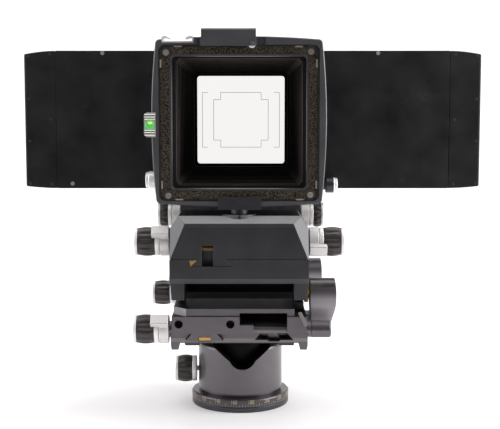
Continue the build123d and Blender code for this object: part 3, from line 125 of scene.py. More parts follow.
def worn_finish(name, dark, light, roughness, metallic=0.0, grain=3500.0, blotch=60.0, streak=1.0,
                bump=0.12, scuff=0.25, spec=0.5, contrast=1.0, scuff_size=420.0):
    """Finish of two shades mixed by blotches, with rubbed scuffs and a fine grain."""
    material = bpy.data.materials.new(name)
    material.use_nodes = True
    tree = material.node_tree
    shader = tree.nodes["Principled BSDF"]
    shader.inputs["Metallic"].default_value = metallic
    shader.inputs["Specular IOR Level"].default_value = spec
    skin = tree.nodes.new("ShaderNodeGroup")
    skin.node_tree = ANODISED_SKIN
    for socket, value in (
        ("Grain per metre", grain), ("Blotch per metre", blotch), ("Streak", streak),
        ("Contrast", contrast), ("Scuff per metre", scuff_size),
    ):
        skin.inputs[socket].default_value = value
    shades = {"A": (*dark, 1.0), "B": (*light, 1.0)}
    shade = add_node(tree, "ShaderNodeMix", shades, data_type="RGBA")
    link(tree, skin.outputs["Blotch"], shade.inputs["Factor"])
    rubbed = tuple(min(1.0, 1.5 * channel + 0.01) for channel in light)
    rub = add_node(tree, "ShaderNodeMix", {"B": (*rubbed, 1.0)}, data_type="RGBA")
    link(tree, shade.outputs["Result"], rub.inputs["A"])
    amount = add_node(tree, "ShaderNodeMath", {1: scuff}, operation="MULTIPLY")
    link(tree, skin.outputs["Scuff"], amount.inputs[0])
    link(tree, amount.outputs["Value"], rub.inputs["Factor"])
    link(tree, rub.outputs["Result"], shader.inputs["Base Color"])
    unevenness = 0.06
    rough = add_node(
        tree, "ShaderNodeMapRange",
        {"To Min": roughness - unevenness, "To Max": roughness + unevenness},
    )
    link(tree, skin.outputs["Blotch"], rough.inputs["Value"])
    link(tree, rough.outputs["Result"], shader.inputs["Roughness"])
    relief = add_node(tree, "ShaderNodeBump", {"Strength": bump, "Distance": 0.0001})
    link(tree, skin.outputs["Grain"], relief.inputs["Height"])
    link(tree, relief.outputs["Normal"], shader.inputs["Normal"])
    return material


def settle(piece):
    """Applies the modifiers, so that the mesh is final."""
    evaluated = piece.evaluated_get(bpy.context.evaluated_depsgraph_get())
    mesh = bpy.data.meshes.new_from_object(evaluated)
    piece.modifiers.clear()
    piece.data = mesh
    mesh.name = piece.name


WELD = 2e-6
FLAT_WITHIN = math.radians(0.6)


def eased(node, width, material, angle=24.0, segments=2, windowed=False, edge=None,
          recut=None):
    """The CAD node with its edges broken by a small radius, in the finish that edge gives.

    A windowed piece keeps its triangles. Where recut is given, it mills the copy first.
    """
    mesh = frame["nodes"][node].data.copy()
    piece = bpy.data.objects.new(f"{node}_finished", mesh)
    bpy.context.scene.collection.objects.link(piece)
    shape = bmesh.new()
    shape.from_mesh(mesh)
    bmesh.ops.remove_doubles(shape, verts=shape.verts, dist=WELD)
    if not windowed:
        bmesh.ops.dissolve_limit(
            shape, angle_limit=FLAT_WITHIN, verts=shape.verts, edges=shape.edges
        )
    if recut:
        recut(shape)
    shape.to_mesh(mesh)
    shape.free()
    mesh.shade_smooth()
    mesh.set_sharp_from_angle(angle=math.radians(angle))
    edges = piece.modifiers.new("eased edges", "BEVEL")
    edges.width = width
    edges.segments = segments
    edges.limit_method = "ANGLE"
    edges.angle_limit = math.radians(angle)
    edges.miter_outer = "MITER_ARC"
    mesh.materials.clear()
    mesh.materials.append(material)
    if edge:
        mesh.materials.append(edge)
        edges.material = 1
    normals = piece.modifiers.new("even normals", "WEIGHTED_NORMAL")
    normals.keep_sharp = True
    settle(piece)
    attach(piece, BODY_OF[node])
    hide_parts(node)
    return piece


def dress(node, material):
    """New finish on a CAD node that stays as it is."""
    frame["nodes"][node].data.materials.clear()
    frame["nodes"][node].data.materials.append(material)


satin_black = worn_finish(
    "satin_black_anodised", (0.055, 0.055, 0.059), (0.080, 0.080, 0.086), 0.34,
    metallic=0.75, spec=0.35,
)
eased("base_plate", 0.0004, satin_black)

brass_metal = worn_finish(
    "machined_brass", (0.55, 0.33, 0.10), (0.70, 0.44, 0.16), 0.32, metallic=1.0, streak=0.15
)
dress("tripod_bush", brass_metal)

# ---------------------------------------------------------------------------------------
# Degree ring of the pan: grey anodised aluminium with an engraved scale, filled with
# cream paint. A number stands every 20 degrees and a long tick between two numbers.

RING_R = 0.046
NUMBER_COUNT = 18
FIRST_NUMBER = 160
NUMBER_STEP = 20
NUMBER_PHASE = -7.0
NUMBER_FOOT = 0.0082
NUMBER_SIZE = 0.0056
NARROW = 0.72
PAINT_LIFT = 0.00003
PAINT_HALF = 0.00006
TICK_COUNT = 108
TICK_PHASE = 3.0

grey_satin = worn_finish(
    "grey_blasted_anodised", (0.112, 0.104, 0.112), (0.144, 0.133, 0.144), 0.30, metallic=0.75
)
ring_grey = worn_finish(
    "ring_grey_anodised", (0.078, 0.072, 0.078), (0.100, 0.092, 0.100), 0.34, metallic=0.75
)
eased("pan_scale_ring", 0.0005, ring_grey)

scale_paint = worn_finish(
    "cream_scale_paint", (0.36, 0.27, 0.18), (0.50, 0.40, 0.28), 0.6, bump=0.05
)


def finish_as(piece, material):
    piece.data.materials.clear()
    piece.data.materials.append(material)


def as_piece(shape, name):
    """Object of that name from a finished bmesh."""
    mesh = bpy.data.meshes.new(name)
    shape.to_mesh(mesh)
    shape.free()
    piece = bpy.data.objects.new(name, mesh)
    bpy.context.scene.collection.objects.link(piece)
    return piece


def on_ring(angle, lift, z):
    """Place on the ring's wall, at this angle from its front."""
    turn = math.radians(angle)
    return Vector(((RING_R + lift) * math.sin(turn), -(RING_R + lift) * math.cos(turn), z))


def ring_numbers():
    """Numbers as thin raised paint, bent round the ring."""
    gathered = bmesh.new()
    for step in range(NUMBER_COUNT):
        text = bpy.data.curves.new("number", "FONT")
        text.body = str((FIRST_NUMBER + NUMBER_STEP * step) % 360)
        text.size = NUMBER_SIZE
        text.align_x = "CENTER"
        text.extrude = PAINT_HALF
        holder = bpy.data.objects.new("number", text)
        bpy.context.scene.collection.objects.link(holder)
        mesh = bpy.data.meshes.new_from_object(
            holder.evaluated_get(bpy.context.evaluated_depsgraph_get())
        )
        bpy.data.objects.remove(holder)
        middle = NUMBER_PHASE + NUMBER_STEP * step
        for vertex in mesh.vertices:
            across, up, out = vertex.co
            angle = middle + math.degrees(NARROW * across / RING_R)
            vertex.co = on_ring(angle, out + PAINT_LIFT, NUMBER_FOOT + up)
        gathered.from_mesh(mesh)
        bpy.data.meshes.remove(mesh)
    return as_piece(gathered, "ring_numbers")


def tree_modifier(name, inputs):
    """Object with an empty Geometry Nodes tree that has the named float inputs."""
    tree = bpy.data.node_groups.new(name, "GeometryNodeTree")
    tree.interface.new_socket("Geometry", in_out="OUTPUT", socket_type="NodeSocketGeometry")
    sockets = {}
    for label, value in inputs.items():
        kind = "NodeSocketInt" if isinstance(value, int) else "NodeSocketFloat"
        sockets[label] = tree.interface.new_socket(label, in_out="INPUT", socket_type=kind)
    piece = bpy.data.objects.new(name, bpy.data.meshes.new(name))
    bpy.context.scene.collection.objects.link(piece)
    modifier = piece.modifiers.new(name, "NODES")
    modifier.node_group = tree
    for label, value in inputs.items():
        modifier[sockets[label].identifier] = value
    return piece, tree


def close_tree(tree, geometry, material):
    """Realises the instances, sets the material and joins the tree's output."""
    realise = tree.nodes.new("GeometryNodeRealizeInstances")
    paint = tree.nodes.new("GeometryNodeSetMaterial")
    paint.inputs["Material"].default_value = material
    outside = tree.nodes.new("NodeGroupOutput")
    link(tree, geometry, realise.inputs["Geometry"])
    link(tree, realise.outputs["Geometry"], paint.inputs["Geometry"])
    link(tree, paint.outputs["Geometry"], outside.inputs["Geometry"])


def ticks_round_ring(name, count, z, tall, wide, deep, material):
    """Ticks at even angles round the ring, each a small box."""
    piece, tree = tree_modifier(
        name,
        {"Count": count, "Radius": RING_R, "Phase": math.radians(TICK_PHASE), "Height": z,
         "Tall": tall, "Wide": wide, "Deep": deep},
    )
    inside = tree.nodes.new("NodeGroupInput")
    points = tree.nodes.new("GeometryNodePoints")
    link(tree, inside.outputs["Count"], points.inputs["Count"])
    index = tree.nodes.new("GeometryNodeInputIndex")
    share = add_node(tree, "ShaderNodeMath", operation="DIVIDE")
    link(tree, index.outputs["Index"], share.inputs[0])
    link(tree, inside.outputs["Count"], share.inputs[1])
    full_turn = {1: 2.0 * math.pi}
    turn = add_node(tree, "ShaderNodeMath", full_turn, operation="MULTIPLY_ADD")
    link(tree, share.outputs["Value"], turn.inputs[0])
    link(tree, inside.outputs["Phase"], turn.inputs[2])
    rotation = tree.nodes.new("ShaderNodeCombineXYZ")
    link(tree, turn.outputs["Value"], rotation.inputs["Z"])
    cube = tree.nodes.new("GeometryNodeMeshCube")
    size = tree.nodes.new("ShaderNodeCombineXYZ")
    for label, axis in (("Wide", "X"), ("Deep", "Y"), ("Tall", "Z")):
        link(tree, inside.outputs[label], size.inputs[axis])
    link(tree, size.outputs["Vector"], cube.inputs["Size"])
    outward = add_node(tree, "ShaderNodeMath", {1: -1.0}, operation="MULTIPLY")
    link(tree, inside.outputs["Radius"], outward.inputs[0])
    offset = tree.nodes.new("ShaderNodeCombineXYZ")
    link(tree, outward.outputs["Value"], offset.inputs["Y"])
    link(tree, inside.outputs["Height"], offset.inputs["Z"])
    shift = tree.nodes.new("GeometryNodeTransform")
    link(tree, cube.outputs["Mesh"], shift.inputs["Geometry"])
    link(tree, offset.outputs["Vector"], shift.inputs["Translation"])
    spread = tree.nodes.new("GeometryNodeInstanceOnPoints")
    link(tree, points.outputs["Points"], spread.inputs["Points"])
    link(tree, shift.outputs["Geometry"], spread.inputs["Instance"])
    link(tree, rotation.outputs["Vector"], spread.inputs["Rotation"])
    close_tree(tree, spread.outputs["Instances"], material)
    settle(piece)
    return piece


numbers = ring_numbers()
finish_as(numbers, scale_paint)
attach(numbers, "base")
for name, count, z, tall, wide, deep in (
    ("ring_ticks", TICK_COUNT, 0.0066, 0.0008, 0.00045, 0.00012),
    ("ring_long_ticks", NUMBER_COUNT, 0.0071, 0.0019, 0.0005, 0.00014),
):
    ticks = ticks_round_ring(name, count, z, tall, wide, deep, scale_paint)
    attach(ticks, "base")

# ---------------------------------------------------------------------------------------
# Ball housing: a turned and bead-blasted aluminium cup, grey anodised, with a notch milled
# into its rim for the stem. The ball inside is black.

CUP_R = 0.0391
CUP_FLOOR = 0.02
LEVEL = 0.97


def paint_where(piece, material, test):
    """Gives a second finish to the faces that pass a test of their centre and normal."""
    piece.data.materials.append(material)
    index = len(piece.data.materials) - 1
    for face in piece.data.polygons:
        if test(face.center, face.normal):
            face.material_index = index


# Deepest black: the own black of the ball and the level's bars, and painted shade in hollows and
# openings.
black_and_painted_shade = worn_finish(
    "black_anodised_and_painted_shade", (0.003, 0.003, 0.004), (0.006, 0.006, 0.007), 0.62, spec=0.2
)
housing = eased("ball_housing", 0.0006, grey_satin, angle=32.0)


def in_cup(centre, normal):
    """Faces inside the cup and its notch, which are painted black as the shade in the hollow."""
    within = math.hypot(centre.x, centre.y) < CUP_R
    return within and centre.z > CUP_FLOOR and normal.z < LEVEL


paint_where(housing, black_and_painted_shade, in_cup)
eased("ball", 0.0004, black_and_painted_shade)
dress("clamp_shoe", brass_metal)

# ---------------------------------------------------------------------------------------
# Clamp knob of the ball: turned aluminium, clear anodised, on a black shaft, with a fluted
# rubber sleeve pressed on it.

knob_metal = worn_finish(
    "blasted_clear_anodised", (0.80, 0.79, 0.80), (0.92, 0.91, 0.92), 0.38, metallic=0.35,
    bump=0.15, scuff=0.1,
)
grip_rubber = worn_finish(
    "grip_rubber", (0.016, 0.012, 0.012), (0.054, 0.042, 0.042), 0.32, blotch=220.0, bump=0.2,
    spec=0.45,
)
FLUTES = 12
FLUTE_DEPTH = 0.0010
WAVES = 3
WAVE = 0.35
FADE = 5.0
CROWN = 0.0003
TAPER = 0.0011
SLEEVE_WALL = 0.0022
ROWS = 14
COLUMNS = 144


def fluted_sleeve(node, hand, phase):
    """Barrel-shaped rubber sleeve with soft wavy flutes, where the CAD grip is."""
    corners = [v.co for v in frame["nodes"][node].data.vertices if v.co.x * hand > 0.0]
    low = Vector([min(corner[axis] for corner in corners) for axis in range(3)])
    high = Vector([max(corner[axis] for corner in corners) for axis in range(3)])
    y, z, radius = (low.y + high.y) / 2.0, (low.z + high.z) / 2.0, (high.z - low.z) / 2.0
    shape = bmesh.new()
    turns = [2.0 * math.pi * column / COLUMNS for column in range(COLUMNS)]

    def ring_at(x, reaches):
        return [
            shape.verts.new((x, y + reach * math.cos(turn), z + reach * math.sin(turn)))
            for turn, reach in zip(turns, reaches)
        ]

    rings = []
    for row in range(ROWS + 1):
        along = row / ROWS
        crown = radius + CROWN - TAPER * (2.0 * along - 1.0) ** 2
        depth = FLUTE_DEPTH * min(1.0, FADE * along * (1.0 - along)) ** 1.5
        reaches = []
        for turn in turns:
            sway = math.sin(2.0 * math.pi * along + turn + phase)
            wave = WAVE * math.sin(WAVES * turn + phase) * sway
            flute = (0.5 + 0.5 * math.cos(FLUTES * turn + phase + wave)) ** 2
            reaches.append(crown - depth * flute)
        rings.append(ring_at(low.x + (high.x - low.x) * along, reaches))
    for x in (high.x, low.x):
        rings.append(ring_at(x, [radius - SLEEVE_WALL] * COLUMNS))
    rings.append(rings[0])
    for first, second in zip(rings, rings[1:]):
        for column in range(COLUMNS):
            after = (column + 1) % COLUMNS
            shape.faces.new((first[column], first[after], second[after], second[column]))
    bmesh.ops.recalc_face_normals(shape, faces=shape.faces)
    side = "left" if hand < 0 else "right"
    piece = as_piece(shape, f"{node}_sleeve_{side}")
    piece.data.shade_smooth()
    piece.data.set_sharp_from_angle(angle=math.radians(50.0))
    finish_as(piece, grip_rubber)
    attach(piece, BODY_OF[node])
    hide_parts(node)


eased("ball_clamp_knob", 0.0003, knob_metal, angle=30.0)
fluted_sleeve("ball_clamp_grip", -1, 0.4)

# ---------------------------------------------------------------------------------------
# Bench: two extruded and milled aluminium rails, one sliding in the other. The upper one is
# grey, with two dovetail grooves and a brass rack at the floor of each.

SLOPE_TOP = 0.0818
SLOPE_FOOT = 0.0780
SLOPE_INWARD = 0.0018
SLOPE_FROM = 0.096
TOUCH = 1e-5
MARGIN = 0.0001

# Painted highlight: a lighter finish on the bevel faces of broken edges, as a bright line along
# them.
painted_edge_highlight = worn_finish(
    "painted_edge_highlights", (0.060, 0.060, 0.064), (0.150, 0.147, 0.153), 0.42, blotch=160.0, scuff=0.5
)
bench_grey = worn_finish(
    "bench_grey_anodised", (0.120, 0.111, 0.120), (0.165, 0.153, 0.165), 0.34, metallic=0.75,
    streak=0.06, scuff=0.4,
)
eased("rail_clamp", 0.0003, satin_black)
eased("lower_bench", 0.0003, satin_black)


def score(shape, heights):
    """Cuts the faces of a copy along level lines at these heights."""
    for height in heights:
        bmesh.ops.bisect_plane(
            shape, geom=shape.verts[:] + shape.edges[:] + shape.faces[:],
            plane_co=(0.0, 0.0, height), plane_no=(0.0, 0.0, 1.0), dist=1e-6,
        )


def mill_bench_ends(shape):
    """Slope under the grooves at both ends of the bench, down to the set-back legs."""
    end = max(vertex.co.y for vertex in shape.verts)
    score(shape, (SLOPE_TOP, SLOPE_FOOT))
    for vertex in shape.verts:
        if abs(abs(vertex.co.y) - end) < TOUCH and vertex.co.z < SLOPE_FOOT + MARGIN:
            vertex.co.y -= math.copysign(SLOPE_INWARD, vertex.co.y)


def on_end_slope(centre, normal):
    """Slope at an end of the bench, painted lighter as light bounced up from the floor falls on it.
    """
    between = SLOPE_FOOT < centre.z < SLOPE_TOP + 2.0 * MARGIN
    looks_down = normal.z < -0.2
    return abs(centre.y) > SLOPE_FROM and between and looks_down


# Painted light: a lighter tone for the down-facing end slopes of the bench.
end_slope_painted_bounce = worn_finish(
    "bench_end_slope_painted_bounce", (0.155, 0.143, 0.155), (0.195, 0.180, 0.195), 0.5, scuff=0.3
)
bench = eased(
    "upper_bench", 0.0003, bench_grey, edge=painted_edge_highlight, recut=mill_bench_ends
)
paint_where(bench, end_slope_painted_bounce, on_end_slope)
dress("bench_racks", brass_metal)

# ---------------------------------------------------------------------------------------
# Standards: milled blocks of black anodised aluminium. From below: focus carriage and deck,
# riser on two posts, and tilt block with its curved sole. The front and the rear one are
# alike, and the rear one is the higher.

lever_metal = worn_finish(
    "blasted_lever_metal", (0.60, 0.58, 0.57), (0.80, 0.78, 0.77), 0.5, metallic=0.6, bump=0.6,
    grain=2600.0, blotch=900.0, scuff=0.1,
)
steel_metal = worn_finish(
    "turned_steel", (0.42, 0.42, 0.42), (0.55, 0.55, 0.55), 0.3, metallic=1.0
)
HOUSING_SKIN = {
    "dark": (0.080, 0.074, 0.080), "light": (0.106, 0.098, 0.106), "roughness": 0.33,
    "metallic": 0.8, "scuff": 0.15,
}
# Painted light: the housing's grey as a middle tone on the steeper brow faces of the tilt blocks.
steep_brow_painted_tone = worn_finish("steep_brow_painted_light", **HOUSING_SKIN)


def paint_bounce_light_below(material, high, low, colour):
    """Lets a finish turn light and dull between these heights, as painted light bounced up from the
    floor.
    """
    tree = material.node_tree
    shader = tree.nodes["Principled BSDF"]
    place = tree.nodes.new("ShaderNodeTexCoord")
    height = tree.nodes.new("ShaderNodeSeparateXYZ")
    link(tree, place.outputs["Object"], height.inputs["Vector"])
    depth = add_node(
        tree, "ShaderNodeMapRange", {"From Min": high, "From Max": low},
        interpolation_type="SMOOTHSTEP",
    )
    link(tree, height.outputs["Z"], depth.inputs["Value"])
    before = shader.inputs["Base Color"].links[0].from_socket
    shade = add_node(tree, "ShaderNodeMix", {"B": (*colour, 1.0)}, data_type="RGBA")
    link(tree, depth.outputs["Result"], shade.inputs["Factor"])
    link(tree, before, shade.inputs["A"])
    link(tree, shade.outputs["Result"], shader.inputs["Base Color"])
    sheen = shader.inputs["Metallic"].default_value
    dull = add_node(tree, "ShaderNodeMapRange", {"To Min": sheen, "To Max": 0.1})
    link(tree, depth.outputs["Result"], dull.inputs["Value"])
    link(tree, dull.outputs["Result"], shader.inputs["Metallic"])


drum_and_painted_bounce = worn_finish("drum_anodised_and_painted_bounce", **HOUSING_SKIN)
# Painted light: the drum's foot turns lighter, as if lit from the floor below it.
paint_bounce_light_below(drum_and_painted_bounce, high=0.1210, low=0.1120, colour=(0.33, 0.305, 0.33))
deck_painted_shade = worn_finish(
    "deck_top_painted_shade", (0.006, 0.006, 0.0065), (0.011, 0.011, 0.012), 0.45, spec=0.15
)
# Painted light: a lighter tone for faces turned to the side lights.
facet_painted_light = worn_finish(
    "block_facets_painted_light", (0.085, 0.083, 0.088), (0.125, 0.122, 0.130), 0.45, metallic=0.2,
    scuff=0.6,
)
# Painted light: a light tone for faces that catch the top light or the side light.
brow_painted_light = worn_finish(
    "block_brow_painted_light", (0.240, 0.237, 0.248), (0.320, 0.316, 0.330), 0.5, scuff=0.4
)

STANDARD_FACE = 0.1035
GROOVE_LEFT, GROOVE_RIGHT = 0.0105, 0.0412
SLOT_FOOT, SLOT_TOP = 0.080, 0.1042
SLOT_SKIN, SLOT_DEEP = 0.0006, 0.008
DECK_FOOT, DECK_TOP = 0.095, 0.1078
ARCH_HALF, ARCH_TOP, ARCH_FACE = 0.0474, 0.1430, 0.0995
BRIDGE_TOP = 0.0190
BRIDGE_FOOT = 0.0144
CHEEK_INWARD = 0.003
FACET_FROM, STEEP_FROM, BROW_FROM = 0.150, 0.178, 0.180
BROW_DROP = 0.0104
BROW_INWARD = 0.0012
SHOULDER_X = 0.040
FACE_BELOW = 0.012


def in_tunnel(centre, normal):
    """Faces inside the slot over the right dovetail groove of the bench, painted black as the shade
    in the slot.
    """
    inward = STANDARD_FACE - abs(centre.y)
    within = GROOVE_LEFT < centre.x < GROOVE_RIGHT and SLOT_FOOT < centre.z < SLOT_TOP
    side_wall = inward > SLOT_SKIN and abs(normal.y) < 0.9
    return within and (side_wall or inward > SLOT_DEEP)


def on_deck(centre, normal):
    """Top of the deck under a riser, painted near black as the shade under the riser."""
    return centre.z > DECK_TOP


def on_deck_corner(centre, normal):
    """Facet at the left corner of the deck, painted lighter as light falls on it."""
    turned_left = normal.x < -0.4 and abs(normal.y) > 0.4
    return centre.z > DECK_FOOT and turned_left


def in_arch(centre, normal):
    """Faces in the opening under the bridge of a riser, painted black as the shade there."""
    return abs(centre.x) < ARCH_HALF and centre.z < ARCH_TOP and abs(centre.y) < ARCH_FACE


def on_sole(centre, normal):
    """Faces of a tilt block that look down, painted black as the shade under it, so that a dark
    line parts it from the riser.
    """
    return normal.z < -0.1


def on_facet(centre, normal):
    """Sloping side facets of a tilt block, painted a little lighter as the side light falls on
    them.
    """
    return centre.z > FACET_FROM and 0.1 < abs(normal.x) < 0.99


def on_brow(centre, normal):
    """Slope along the upper edge of a tilt block's outer face, painted lighter again as it faces
    the top light.
    """
    return centre.z > BROW_FROM and 0.6 < normal.z < 0.98 and abs(normal.x) < 0.1


def on_steep_brow(centre, normal):
    """Steeper faces beside that slope, painted a middle tone as they catch less of the top light.
    """
    return centre.z > STEEP_FROM and 0.2 < normal.z < 0.5 and abs(normal.x) < 0.1


def mill_riser(shape):
    """Slope under the bridge of a riser, with the cheeks set back below it."""
    front = shape.verts[:][0].co.y < 0.0
    face = (min if front else max)(vertex.co.y for vertex in shape.verts)
    foot = min(vertex.co.z for vertex in shape.verts)
    inward = CHEEK_INWARD if front else -CHEEK_INWARD
    score(shape, (foot + BRIDGE_TOP, foot + BRIDGE_FOOT))
    for vertex in shape.verts:
        out = vertex.co.y - face
        if abs(out) < TOUCH and vertex.co.z < foot + BRIDGE_FOOT + MARGIN:
            vertex.co.y += inward
        elif abs(out - inward) < TOUCH and abs(vertex.co.z - foot - BRIDGE_TOP) < TOUCH:
            vertex.co.y = face
    bmesh.ops.remove_doubles(shape, verts=shape.verts, dist=5e-6)
    bmesh.ops.dissolve_degenerate(shape, edges=shape.edges, dist=5e-6)


def mill_block(shape):
    """Narrow slope along the top edge of a tilt block's outer face."""
    front = shape.verts[:][0].co.y < 0.0
    top = max(vertex.co.z for vertex in shape.verts if abs(vertex.co.x) > SHOULDER_X)
    below = [vertex.co.y for vertex in shape.verts if vertex.co.z < top - FACE_BELOW]
    face = (min if front else max)(below)
    score(shape, (top - BROW_DROP,))
    for vertex in shape.verts:
        if abs(vertex.co.y - face) < TOUCH and vertex.co.z > top - BROW_DROP + MARGIN:
            vertex.co.y += BROW_INWARD if front else -BROW_INWARD


for number, name in enumerate(("front", "rear")):
    for part, slot in (("carriage", "grey_anodised"), ("post_base", "black_anodised")):
        slide = eased(f"{name}_{part}", 0.0004, bench_grey, edge=painted_edge_highlight)
        paint_where(slide, black_and_painted_shade, in_tunnel)
        paint_where(slide, deck_painted_shade, on_deck)
        paint_where(slide, brow_painted_light, on_deck_corner)
    eased(f"{name}_drive_housing", 0.0006, drum_and_painted_bounce, angle=40.0, segments=3)
    riser = eased(
        f"{name}_riser", 0.0005, satin_black, edge=painted_edge_highlight, recut=mill_riser
    )
    paint_where(riser, black_and_painted_shade, in_arch)
    block = eased(
        f"{name}_tilt_block", 0.0004, satin_black, edge=painted_edge_highlight,
        recut=mill_block,
    )
    paint_where(block, black_and_painted_shade, on_sole)
    paint_where(block, facet_painted_light, on_facet)
    paint_where(block, brow_painted_light, on_brow)
    paint_where(block, steep_brow_painted_tone, on_steep_brow)
    focus_knob = eased(f"{name}_focus_knob", 0.0003, knob_metal, angle=30.0)
    paint_where(focus_knob, grey_satin, lambda centre, normal: centre.x > 0.0)
    eased(f"{name}_tilt_knobs", 0.0003, knob_metal, angle=30.0)
    fluted_sleeve(f"{name}_focus_grip", -1, 1.1 + number)
    fluted_sleeve(f"{name}_tilt_grips", -1, 2.3 + number)
    fluted_sleeve(f"{name}_tilt_grips", 1, 3.9 + number)
    for lever in ("focus_lever", "tilt_lever_left", "tilt_lever_right"):
        eased(f"{name}_{lever}", 0.0005, lever_metal, angle=28.0)
    for shaft in ("focus_shaft", "tilt_shaft"):
        dress(f"{name}_{shaft}", steel_metal)
    for gear in ("tilt_rack", "rise_pinion"):
        dress(f"{name}_{gear}", brass_metal)
dress("front_rise_rack", brass_metal)


def cut_plate(name, outline, lens_y, rear_y, width, material, body):
    """Small flat part with this outline in X and Z, its edges broken."""
    shape = bmesh.new()
    faces = [[shape.verts.new((x, y, z)) for x, z in outline] for y in (lens_y, rear_y)]
    shape.faces.new(faces[0])
    shape.faces.new(faces[1])
    for index in range(len(outline)):
        after = (index + 1) % len(outline)
        shape.faces.new((faces[0][index], faces[0][after], faces[1][after], faces[1][index]))
    bmesh.ops.recalc_face_normals(shape, faces=shape.faces)
    piece = as_piece(shape, name)
    edges = piece.modifiers.new("broken edges", "BEVEL")
    edges.width = width
    edges.segments = 2
    settle(piece)
    finish_as(piece, material)
    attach(piece, body)


stop_metal = worn_finish(
    "worn_stop_metal", (0.16, 0.145, 0.14), (0.26, 0.235, 0.225), 0.45, metallic=0.5, bump=0.3
)
face_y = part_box("front_tilt_block")[0].y
cut_plate(
    "gib_end", ((-0.0426, 0.1500), (-0.0364, 0.1500), (-0.0414, 0.1449)),
    face_y - 0.0002, face_y + 0.0006, 0.0001, brass_metal, "front_tilt",
)
deck_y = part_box("front_carriage")[0].y
cut_plate(
    "focus_stop", ((0.0504, 0.1052), (0.0532, 0.1060), (0.0590, 0.0945), (0.0560, 0.0930)),
    deck_y - 0.0012, deck_y + 0.0004, 0.0003, stop_metal, "front_carriage",
)

# ---------------------------------------------------------------------------------------
# Front frame: a machined square of black anodised aluminium with gently bowed sides. The
# recess takes the lens board, which bears on eight small tabs over a foam light seal.

frame_black = worn_finish(
    "frame_black_anodised", (0.078, 0.078, 0.085), (0.110, 0.109, 0.119), 0.38, metallic=0.5,
    scuff=0.35,
)
tab_black = worn_finish(
    "lower_tab_anodised", (0.030, 0.030, 0.033), (0.045, 0.045, 0.049), 0.38, metallic=0.5
)
lens_frame = eased(
    "front_frame", 0.0004, frame_black, windowed=True, edge=painted_edge_highlight
)
TAB_TOP = 0.207
front_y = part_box("front_frame")[0].y


def on_lower_tab(centre, normal):
    """Front of the tab below the recess."""
    return centre.z < TAB_TOP and centre.y < front_y + 0.0008 and normal.y < -0.9


paint_where(lens_frame, tab_black, on_lower_tab)
foam = worn_finish(
    "open_foam", (0.001, 0.001, 0.001), (0.084, 0.069, 0.053), 0.95, grain=1500.0, blotch=900.0,
    bump=0.9, scuff=0.3, spec=0.05, contrast=4.0,
)
eased("foam_seal", 0.0002, foam, windowed=True)
tab_metal = worn_finish(
    "bare_tab_metal", (0.38, 0.32, 0.26), (0.52, 0.45, 0.38), 0.4, metallic=0.8, scuff=0.1
)
eased("seat_tabs", 0.0002, tab_metal)
eased("seat_screws", 0.0002, tab_metal)
eased("lens_lock", 0.0003, frame_black, edge=painted_edge_highlight)
lock_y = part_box("lens_lock")[0].y


def round_outline(x, z, radius, sides):
    """Outline of a round plate in X and Z."""
    turns = [2.0 * math.pi * side / sides for side in range(sides)]
    return [(x + radius * math.cos(turn), z + radius * math.sin(turn)) for turn in turns]


cut_plate(
    "lock_pin", round_outline(0.0110, 0.3332, 0.0030, 24),
    lock_y + 0.0020, lock_y + 0.0040, 0.0003, knob_metal, "lens_lock",
)

# ---------------------------------------------------------------------------------------
# Accessory shoe: pressed steel with two spring lips, held by a screw. The spirit level
# beside the frame is a clear block with white bars and a green vial.

eased("accessory_shoe", 0.00015, knob_metal)


def lit_through(name, colour, light, glow, values):
    """Finish that glows a little, as lit from behind or by the white paper round it."""
    material = bpy.data.materials.new(name)
    material.use_nodes = True
    shader = material.node_tree.nodes["Principled BSDF"]
    shader.inputs["Base Color"].default_value = (*colour, 1.0)
    shader.inputs["Emission Color"].default_value = (*light, 1.0)
    shader.inputs["Emission Strength"].default_value = glow
    for socket, value in values.items():
        shader.inputs[socket].default_value = value
    return material


def clear_plastic(name, colour, glow, transmission):
    """Clear or dyed plastic, glowing in its own colour by the given amount as painted light."""
    clear = {"Roughness": 0.15, "IOR": 1.46, "Transmission Weight": transmission}
    return lit_through(name, colour, colour, glow, clear)


acrylic = clear_plastic("clear_acrylic", (0.50, 0.50, 0.44), 0.0, 0.3)
level_white = clear_plastic("level_white_bars", (0.85, 0.84, 0.80), 0.1, 0.0)
level_green = clear_plastic("level_green_fluid", (0.10, 0.55, 0.12), 0.25, 0.2)
level_bubble = clear_plastic("level_bubble", (0.62, 0.85, 0.20), 0.25, 0.2)
dress("spirit_level", acrylic)


